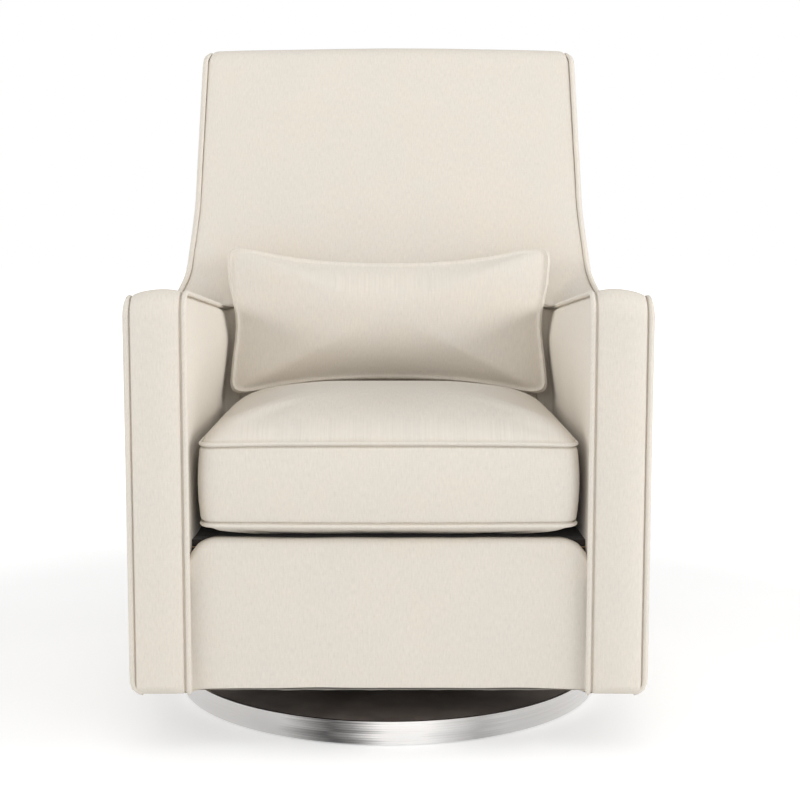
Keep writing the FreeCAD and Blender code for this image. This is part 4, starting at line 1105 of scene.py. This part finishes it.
# Quarter of the pillow's outline: shares of its half width and half height, and how much of the dip of
# its long side each point takes
pillow_quarter = [(0.0, 1.0, 1.0), (0.45, 1.0, 0.90), (0.76, 1.0, 0.40), (0.93, 1.0, 0.0), (1.0, 0.98, 0.0),
                  (1.0, 0.84, 0.0), (0.985, 0.45, 0.0)]
pillow_top_half = 0.2620
pillow_bottom_half = 0.2535
pillow_waist_half = 0.2425
pillow_height = 0.2370
pillow_foot_z = 0.4620
pillow_top_dip = 0.027
pillow_bottom_dip = 0.025
pillow_depth = 0.116
pillow_fill = 0.92               # share of its depth that its form has before it is stuffed
pillow_fullness = 2.5
pillow_rings_inside = 22
pillow_step = 0.0055             # distance between points along its seam
pillow_curve_points = 400
pillow_gap = 0.002               # between the pillow and the back
pillow_dip_share = 1.25
seam_step = 0.003

# Cloth of a cushion while it is filled, and how it is filled
stuffing_cloth = {
    "quality": 4, "mass": 0.35, "tension_stiffness": 28.0, "compression_stiffness": 28.0,
    "shear_stiffness": 12.0, "bending_stiffness": 0.8, "use_pressure": True, "vertex_group_mass": "seams",
}
stuffing_frames = 20
stuffing_ripple = 1.6            # how much stronger a filled cover ripples along its seams


def soft_loop(points, count):
    """Closed smooth curve near a loop of points, at equal steps of its parameter."""
    size = len(points)
    table = np.array(points)
    curve = []
    for i in range(count):
        place = i * size / count
        k, t = int(place), place - int(place)
        weights = [(1 - t) ** 3, 3 * t ** 3 - 6 * t ** 2 + 4, -3 * t ** 3 + 3 * t ** 2 + 3 * t + 1, t ** 3]
        curve.append(sum(w * table[(k + j - 1) % size] for j, w in enumerate(weights)) / 6.0)
    return curve


def cushion_outline(half_width, front_y, rear_y, radius, bow):
    """Plan of the seat cushion: a rectangle with round corners and a slightly bowed front."""
    plan = [(-half_width, front_y), (half_width, front_y), (half_width, rear_y), (-half_width, rear_y)]
    points = []
    for i in range(4):
        arc = corner_arc(plan[i - 1], plan[i], plan[(i + 1) % 4], radius, 6)
        following = corner_arc(plan[i], plan[(i + 1) % 4], plan[(i + 2) % 4], radius, 6)[0]
        points += arc + straight(arc[-1], following, 12)[:-1]
    loop = evenly([Vector(p) for p in points + points[:1]], cushion_step)[:-1]
    flat_half = half_width - radius
    for p in loop:
        if p.y < front_y + radius and abs(p.x) < flat_half:
            p.y -= bow * (1.0 - (p.x / flat_half) ** 2)
    return loop


def inward_rings(outline, centre, count):
    """Copies of an outline drawn in to its centre: first by the seam lines' distances, then by shares."""
    rings = [[p + (centre - p).normalized() * step for p in outline] for step in seam_lines]
    last = rings[-1]
    for i in range(1, count + 1):
        share = 1.0 - math.sin(math.pi / 2.0 * (1.0 - i / (count + 1)))
        rings.append([p.lerp(centre, share) for p in last])
    return rings


def crown_share(share, fullness):
    """Height of the crown, 1 in the middle and 0 at the seam, with full shoulders."""
    return crown_flat * (1.0 - share ** fullness) + (1.0 - crown_flat) * (1.0 - share ** 2)


def top_seam_z(x):
    return cushion_top_seam_z - cushion_seam_drop * min(1.0, abs(x) / cushion_half) ** 3


def cushion_rings():
    """Rings of the seat cushion from the middle of its underside over the border to its crown."""
    outline = cushion_outline(cushion_half, cushion_front_y, cushion_rear_y, cushion_corner, cushion_bow)
    centre = Vector((0.0, (cushion_front_y + cushion_rear_y) / 2.0))
    inward = inward_rings(outline, centre, cushion_rings_inside)
    under, over = [], []
    for ring in inward:
        low, high = [], []
        for p, q in zip(ring, outline):
            share = (p - centre).length / (q - centre).length
            belly = cushion_belly * crown_share(share, under_fullness)
            crown = cushion_crown * crown_share(share, over_fullness)
            low.append(Vector((p.x, p.y, cushion_bottom_seam_z - belly)))
            high.append(Vector((p.x, p.y, top_seam_z(p.x) + crown)))
        under.append(low)
        over.append(high)
    height = cushion_top_seam_z - cushion_bottom_seam_z
    steps = list(seam_lines[1:] + border_steps)
    shares = [step / height for step in steps] + [0.5] + [1.0 - step / height for step in reversed(steps)]
    border = []
    for share in shares:
        bulge = cushion_side_bulge * math.sin(math.pi * share) ** 0.7
        ring = []
        for p in outline:
            out = p + (p - centre).normalized() * bulge
            ring.append(Vector((out.x, out.y, lerp(cushion_bottom_seam_z, top_seam_z(p.x), share))))
        border.append(ring)
    return under[::-1] + border + over


def ring_mesh(name, rings):
    """Closed smooth mesh over rings of points, with the weave laid along and across them."""
    count = len(rings[0])
    vertices = [p for ring in rings for p in ring]
    quads = []
    for r in range(len(rings) - 1):
        for c in range(count):
            after = (c + 1) % count
            quads.append([r * count + c, r * count + after, (r + 1) * count + after, (r + 1) * count + c])
    for ring, first, order in ((rings[0], 0, -1), (rings[-1], (len(rings) - 1) * count, 1)):
        vertices.append(sum(ring, Vector((0.0, 0.0, 0.0))) / count)
        for c in range(count):
            pair = [first + c, first + (c + 1) % count][::order]
            quads.append([len(vertices) - 1] + pair)
    mesh = bpy.data.meshes.new(name)
    mesh.from_pydata([tuple(p) for p in vertices], [], quads)
    mesh.polygons.foreach_set("use_smooth", [True] * len(mesh.polygons))
    mesh.update()
    flat_uv(mesh)
    return mesh


def flat_uv(mesh):
    """Lay the weave flat on each face by the way it looks."""
    layer = mesh.uv_layers.new(name="weave")
    for face in mesh.polygons:
        x, y, z = (abs(value) for value in face.normal)
        for loop in face.loop_indices:
            place = mesh.vertices[mesh.loops[loop].vertex_index].co
            if x > max(y, z):
                layer.data[loop].uv = (place.y, place.z)
            else:
                layer.data[loop].uv = (place.x, place.z - place.y)


def applied(piece):
    """Bake a piece's modifiers into its mesh."""
    shaped = piece.evaluated_get(bpy.context.evaluated_depsgraph_get())
    mesh = bpy.data.meshes.new_from_object(shaped)
    piece.modifiers.clear()
    piece.data = mesh


def finder(places):
    """Search tree over a list of places."""
    tree = KDTree(len(places))
    for i, place in enumerate(places):
        tree.insert(place, i)
    tree.balance()
    return tree


def even_form(rings, voxel):
    """Copy of a closed form in even quads."""
    form = bpy.data.objects.new("stuffing", ring_mesh("stuffing", rings))
    bpy.context.scene.collection.objects.link(form)
    remesh = form.modifiers.new("even", "REMESH")
    remesh.mode = "VOXEL"
    remesh.voxel_size = voxel
    applied(form)
    return form


def blown_up(form, held, pressure, cap):
    """Places of a form's points after the cloth is blown up. The held points stay, and none travels
    further than cap."""
    start = np.array([v.co for v in form.data.vertices])
    form.vertex_groups.new(name="seams").add(held, 1.0, "REPLACE")
    settings = form.modifiers.new("cloth", "CLOTH").settings
    for key, value in stuffing_cloth.items():
        setattr(settings, key, value)
    settings.uniform_pressure_force = pressure
    settings.effector_weights.gravity = 0.0
    for number in range(1, stuffing_frames + 1):
        bpy.context.scene.frame_set(number)
    shaped = form.evaluated_get(bpy.context.evaluated_depsgraph_get())
    travel = np.array([v.co for v in shaped.data.vertices]) - start
    bpy.context.scene.frame_set(1)
    form.modifiers.clear()
    reach = np.linalg.norm(travel, axis=1, keepdims=True)
    return start + travel * np.minimum(1.0, cap / np.maximum(reach, 1e-9))


def stuffed(rings, seams, voxel, pressure, cap, calm, limit):
    """Fill a closed form as a cushion is filled: a copy is made into even cloth, held at its seams and
    blown up, and the rings then lie on it. Within calm of a seam they keep more of their own place.
    limit takes a point's old and new place and keeps it off its neighbours."""
    form = even_form(rings, voxel)
    seam_tree = finder(seams)
    held = [v.index for v in form.data.vertices if seam_tree.find(v.co)[2] < voxel]
    for vertex, place in zip(form.data.vertices, blown_up(form, held, pressure, cap)):
        vertex.co = place
    form.modifiers.new("relax", "SMOOTH").iterations = 3
    form.modifiers.new("finer", "SUBSURF").levels = 1
    applied(form)
    surface = BVHTree.FromObject(form, bpy.context.evaluated_depsgraph_get())
    bpy.data.objects.remove(form)
    result = []
    for ring in rings:
        laid = []
        for place in ring:
            gap = seam_tree.find(place)[2]
            found = surface.find_nearest(place)[0]
            laid.append(Vector(limit(place, place.lerp(found, smooth(gap / calm)))))
        result.append(laid)
    return result


def seamed(mesh, seams, seed, depth):
    """Dip and pucker a cushion's cover beside its seams. depth gives the share of the full dip at a
    place."""
    seam_tree = finder(seams)
    places = np.array([v.co for v in mesh.vertices])
    normals = np.array([v.normal for v in mesh.vertices])
    gaps = np.array([seam_tree.find(place)[2] for place in places])
    depths = np.array([depth(place) for place in places])
    push = puckers(places, gaps, seed) * stuffing_ripple - dip(gaps) * depths
    places = places + normals * push[:, None]
    mesh.vertices.foreach_set("co", places.reshape(-1))
    mesh.update()
    return mesh


def seat_cushion():
    """Box cushion with a crown, a border and a welt along each of its two seams."""
    rings = cushion_rings()
    bottom = rings[len(seam_lines) + cushion_rings_inside - 1]
    top = [Vector((p.x, p.y, top_seam_z(p.x))) for p in bottom]
    seams = evenly(bottom + bottom[:1], seam_step) + evenly(top + top[:1], seam_step)
    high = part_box("seat_cushion")[1]

    def limit(_, place):
        side_limit = cushion_half + cushion_side_room
        return (min(side_limit, max(-side_limit, place[0])), min(high.y, place[1]),
                max(deck_top_z + cushion_lift, place[2]))

    def depth(place):
        on_border = bottom[0].z < place[2] < top_seam_z(place[0])
        return 1.0 if on_border else top_dip_share

    rings = stuffed(rings, seams, voxel=0.006, pressure=1.6, cap=0.022, calm=0.014, limit=limit)
    mesh = seamed(ring_mesh("seat_cushion_cover", rings), seams, 31, depth)
    piece = cover("seat_cushion_cover", mesh, "seat_cushion")
    welt("cushion_welt_top", top, closed=True, radius=loose_welt_radius)
    welt("cushion_welt_bottom", bottom, closed=True, radius=loose_welt_radius)
    return piece


def pillow_outline():
    """Seam of the pillow in its own plane: drawn in between its corners."""
    loop = []
    for across, up in ((1, 1), (1, -1), (-1, -1), (-1, 1)):
        quarter = pillow_quarter if across == up else pillow_quarter[::-1]
        half = pillow_top_half if up > 0 else pillow_bottom_half
        drop = pillow_top_dip if up > 0 else pillow_bottom_dip
        for x, z, share in quarter:
            if x > 0.0 or across > 0:
                loop.append(Vector((across * x * half, up * (z * pillow_height / 2.0 - share * drop))))
        if across == up:
            loop.append(Vector((across * pillow_waist_half, 0.0)))
    return evenly([Vector(p) for p in soft_loop(loop, pillow_curve_points)], pillow_step)


def pillow_place(x, out, up):
    """Point of the pillow: across, out from its middle plane towards the sitter, and up."""
    lean = math.atan(back_lean)
    middle_z = pillow_foot_z + pillow_height / 2.0 * math.cos(lean)
    middle_y = back_face_y(middle_z) - (pillow_depth / 2.0 + pillow_gap) / math.cos(lean)
    return Vector((x, middle_y + up * math.sin(lean) - out * math.cos(lean),
                   middle_z + up * math.cos(lean) + out * math.sin(lean)))


def pillow_rings(outline):
    """Rings of the pillow from the middle of its rear over the seam to the middle of its front."""
    inward = inward_rings(outline, Vector((0.0, 0.0)), pillow_rings_inside)
    sides = []
    for face in (-1.0, 1.0):
        rings = []
        for ring in inward:
            line = []
            for p, q in zip(ring, outline):
                fall = (p.length / q.length) ** pillow_fullness
                depth = pillow_depth / 2.0 * pillow_fill * (1.0 - fall)
                line.append(pillow_place(p.x, face * depth, p.y))
            rings.append(line)
        sides.append(rings)
    return sides[0][::-1] + sides[1][1:]


def lumbar_pillow():
    """Knife-edge pillow with a welt, leaning on the back."""
    outline = pillow_outline()
    seam = [pillow_place(p.x, 0.0, p.y) for p in outline]
    seams = evenly(seam + seam[:1], seam_step)
    thick = (pillow_place(0.0, 1.0, 0.0) - pillow_place(0.0, 0.0, 0.0)).normalized()

    def limit(start, place):
        place = start + thick * (place - start).dot(thick)
        return (place.x, min(place.y, back_face_y(place.z) - 0.001), place.z)

    rings = stuffed(pillow_rings(outline), seams, voxel=0.005, pressure=1.5, cap=0.016, calm=0.030,
                    limit=limit)
    mesh = seamed(ring_mesh("lumbar_pillow_cover", rings), seams, 33, lambda place: pillow_dip_share)
    piece = cover("lumbar_pillow_cover", mesh, "lumbar_pillow")
    welt("pillow_welt", seam, closed=True, radius=loose_welt_radius)
    return piece


# Springs
spring_turns = 5
spring_wire_radius = 0.002
spring_steps = 36                # points in one turn
spring_end_turns = 0.8           # turns at each end that lie nearly level
spring_end_rise = 0.04           # share of the height that they climb


def spring_path(low, high):
    """Helix with level ends that fills a spring's box."""
    centre = (low + high) / 2.0
    coil_radius = (high.x - low.x) / 2.0 - spring_wire_radius
    turns = [0.0, spring_end_turns, spring_turns - spring_end_turns, spring_turns]
    climb = [0.0, spring_end_rise, 1.0 - spring_end_rise, 1.0]
    path = []
    for i in range(spring_turns * spring_steps + 1):
        share = float(np.interp(i / spring_steps, turns, climb))
        angle = 2.0 * math.pi * i / spring_steps
        z = lerp(low.z + spring_wire_radius, high.z - spring_wire_radius, share)
        path.append(Vector((centre.x + coil_radius * math.cos(angle),
                            centre.y + coil_radius * math.sin(angle), z)))
    return path


def coil_spring(node):
    """Coil spring of the rocker. The real spring shortens as the chair rocks; this one keeps its shape."""
    low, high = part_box(node)
    title = "coil_" + node
    mesh = tube_mesh(title, spring_path(low, high), spring_wire_radius)
    piece = link(title, mesh, "swivel_frame")
    piece.data.materials.append(materials["spring"])
    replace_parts(piece, node)
    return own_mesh(piece)


# Stage
camera_place = (0.0, -2.36625, 0.7133)
camera_pitch_deg = 6.273
camera_lens = 67.25              # millimetres, for a sensor 36 mm wide
camera_shift_x = 0.01425
floor_half = 30.0
floor_drop = 0.0005
floor_glow_from, floor_glow_to = 1.0, 3.0
floor_glow = 0.34
world_light = 0.50
# Name, width and height, watts, place, and the place that it faces
lamps = [
    ("key", (3.0, 2.2), 82.0, (4.4, -3.6, 1.8), (0.0, 0.0, 0.5)),
    ("fill", (3.0, 2.2), 61.0, (-4.4, -3.6, 1.8), (0.0, 0.0, 0.5)),
    ("front", (2.6, 1.4), 17.0, (0.3, -4.4, 0.95), (0.0, 0.0, 0.45)),
    ("side_right", (2.2, 1.6), 88.0, (5.0, -0.8, 2.3), (0.0, 0.0, 0.55)),
    ("side_left", (2.2, 1.6), 52.0, (-5.0, -0.8, 2.3), (0.0, 0.0, 0.55)),
    ("top", (2.2, 1.6), 9.0, (0.0, -1.3, 3.4), (0.0, -0.1, 0.5)),
]


def camera():
    """The photograph's camera, fitted to the base's ellipse, the arm fronts and the horizon."""
    data = bpy.data.cameras.new("camera")
    data.sensor_width = 36.0
    data.lens = camera_lens
    data.shift_x = camera_shift_x
    place = bpy.data.objects.new("camera", data)
    place.location = camera_place
    place.rotation_euler = (math.radians(90.0 - camera_pitch_deg), 0.0, 0.0)
    bpy.context.scene.collection.objects.link(place)
    bpy.context.scene.camera = place


def soft_lamp(name, size, power, place, target):
    data = bpy.data.lights.new(name, "AREA")
    data.shape = "RECTANGLE"
    data.size, data.size_y = size
    data.energy = power
    lamp = bpy.data.objects.new(name, data)
    lamp.location = place
    lamp.rotation_euler = (Vector(target) - Vector(place)).to_track_quat("-Z", "Y").to_euler()
    bpy.context.scene.collection.objects.link(lamp)


def floor_finish():
    """White floor that keeps the shadow near the chair and glows white far from it."""
    nodes = Nodes("floor_finish")
    speck = nodes.noise(nodes.solid(), 3.0)
    nodes.link(nodes.ramp(speck, [(0.3, grey(0.80)), (0.7, grey(0.82))]), "Base Color")
    nodes.set(Roughness=0.9, Specular_IOR_Level=0.1)
    path = nodes.add("ShaderNodeLightPath")
    seen = nodes.math("MAXIMUM", path.outputs["Is Camera Ray"], path.outputs["Is Glossy Ray"])
    seen = nodes.math("MAXIMUM", seen, path.outputs["Is Transmission Ray"])
    place = nodes.add("ShaderNodeNewGeometry").outputs["Position"]
    away = nodes.add("ShaderNodeVectorMath", {0: place}, operation="LENGTH").outputs["Value"]
    level = nodes.add("ShaderNodeMapRange",
                      {0: away, 1: floor_glow_from, 2: floor_glow_to, 3: floor_glow, 4: 1.0})
    strength = nodes.math("MULTIPLY", seen, level.outputs[0])
    glow = nodes.add("ShaderNodeEmission", {"Color": (1.0, 1.0, 1.0, 1.0), "Strength": strength})
    both = nodes.add("ShaderNodeAddShader", {0: nodes.shader.outputs[0], 1: glow.outputs[0]})
    nodes.tree.links.new(both.outputs[0], nodes.tree.nodes["Material Output"].inputs["Surface"])
    return nodes.material


def pale_floor():
    mesh = bpy.data.meshes.new("floor")
    corners = [(-floor_half, -floor_half, 0.0), (floor_half, -floor_half, 0.0),
               (floor_half, floor_half, 0.0), (-floor_half, floor_half, 0.0)]
    mesh.from_pydata(corners, [], [[0, 1, 2, 3]])
    floor = bpy.data.objects.new("floor", mesh)
    floor.location.z = -floor_drop
    mesh.materials.append(floor_finish())
    bpy.context.scene.collection.objects.link(floor)


def pale_world():
    """World that is white to the camera and lights the chair softly."""
    world = bpy.data.worlds.new("world")
    world.use_nodes = True
    tree = world.node_tree
    ray = tree.nodes.new("ShaderNodeLightPath")
    visible = tree.nodes.new("ShaderNodeMath")
    visible.operation = "MAXIMUM"
    tree.links.new(ray.outputs["Is Camera Ray"], visible.inputs[0])
    tree.links.new(ray.outputs["Is Transmission Ray"], visible.inputs[1])
    strength = tree.nodes.new("ShaderNodeMapRange")
    strength.inputs["To Min"].default_value = world_light
    strength.inputs["To Max"].default_value = 1.0
    tree.links.new(visible.outputs[0], strength.inputs["Value"])
    tree.links.new(strength.outputs[0], tree.nodes["Background"].inputs["Strength"])
    tree.nodes["Background"].inputs["Color"].default_value = (1.0, 1.0, 1.0, 1.0)
    bpy.context.scene.world = world


camera()
pale_floor()
pale_world()
for lamp in lamps:
    soft_lamp(*lamp)
bpy.context.scene.view_settings.view_transform = "Standard"
finish_frame()
for name, side in (("left", -1.0), ("right", 1.0)):
    arm_boxing(name, side)
    arm_inner_cover(name, side)
    outer_cover(name, side)
    outer_welt(name, side)
    inner_welt(name, side)
back_cover()
lower_back_cover()
rear_cover()
crest_welt()
apron_cover()
deck_lip_painted_shade()
under_hem()
seat_cushion()
lumbar_pillow()
for place in ("front_left", "front_right", "rear_left", "rear_right"):
    coil_spring("spring_" + place)
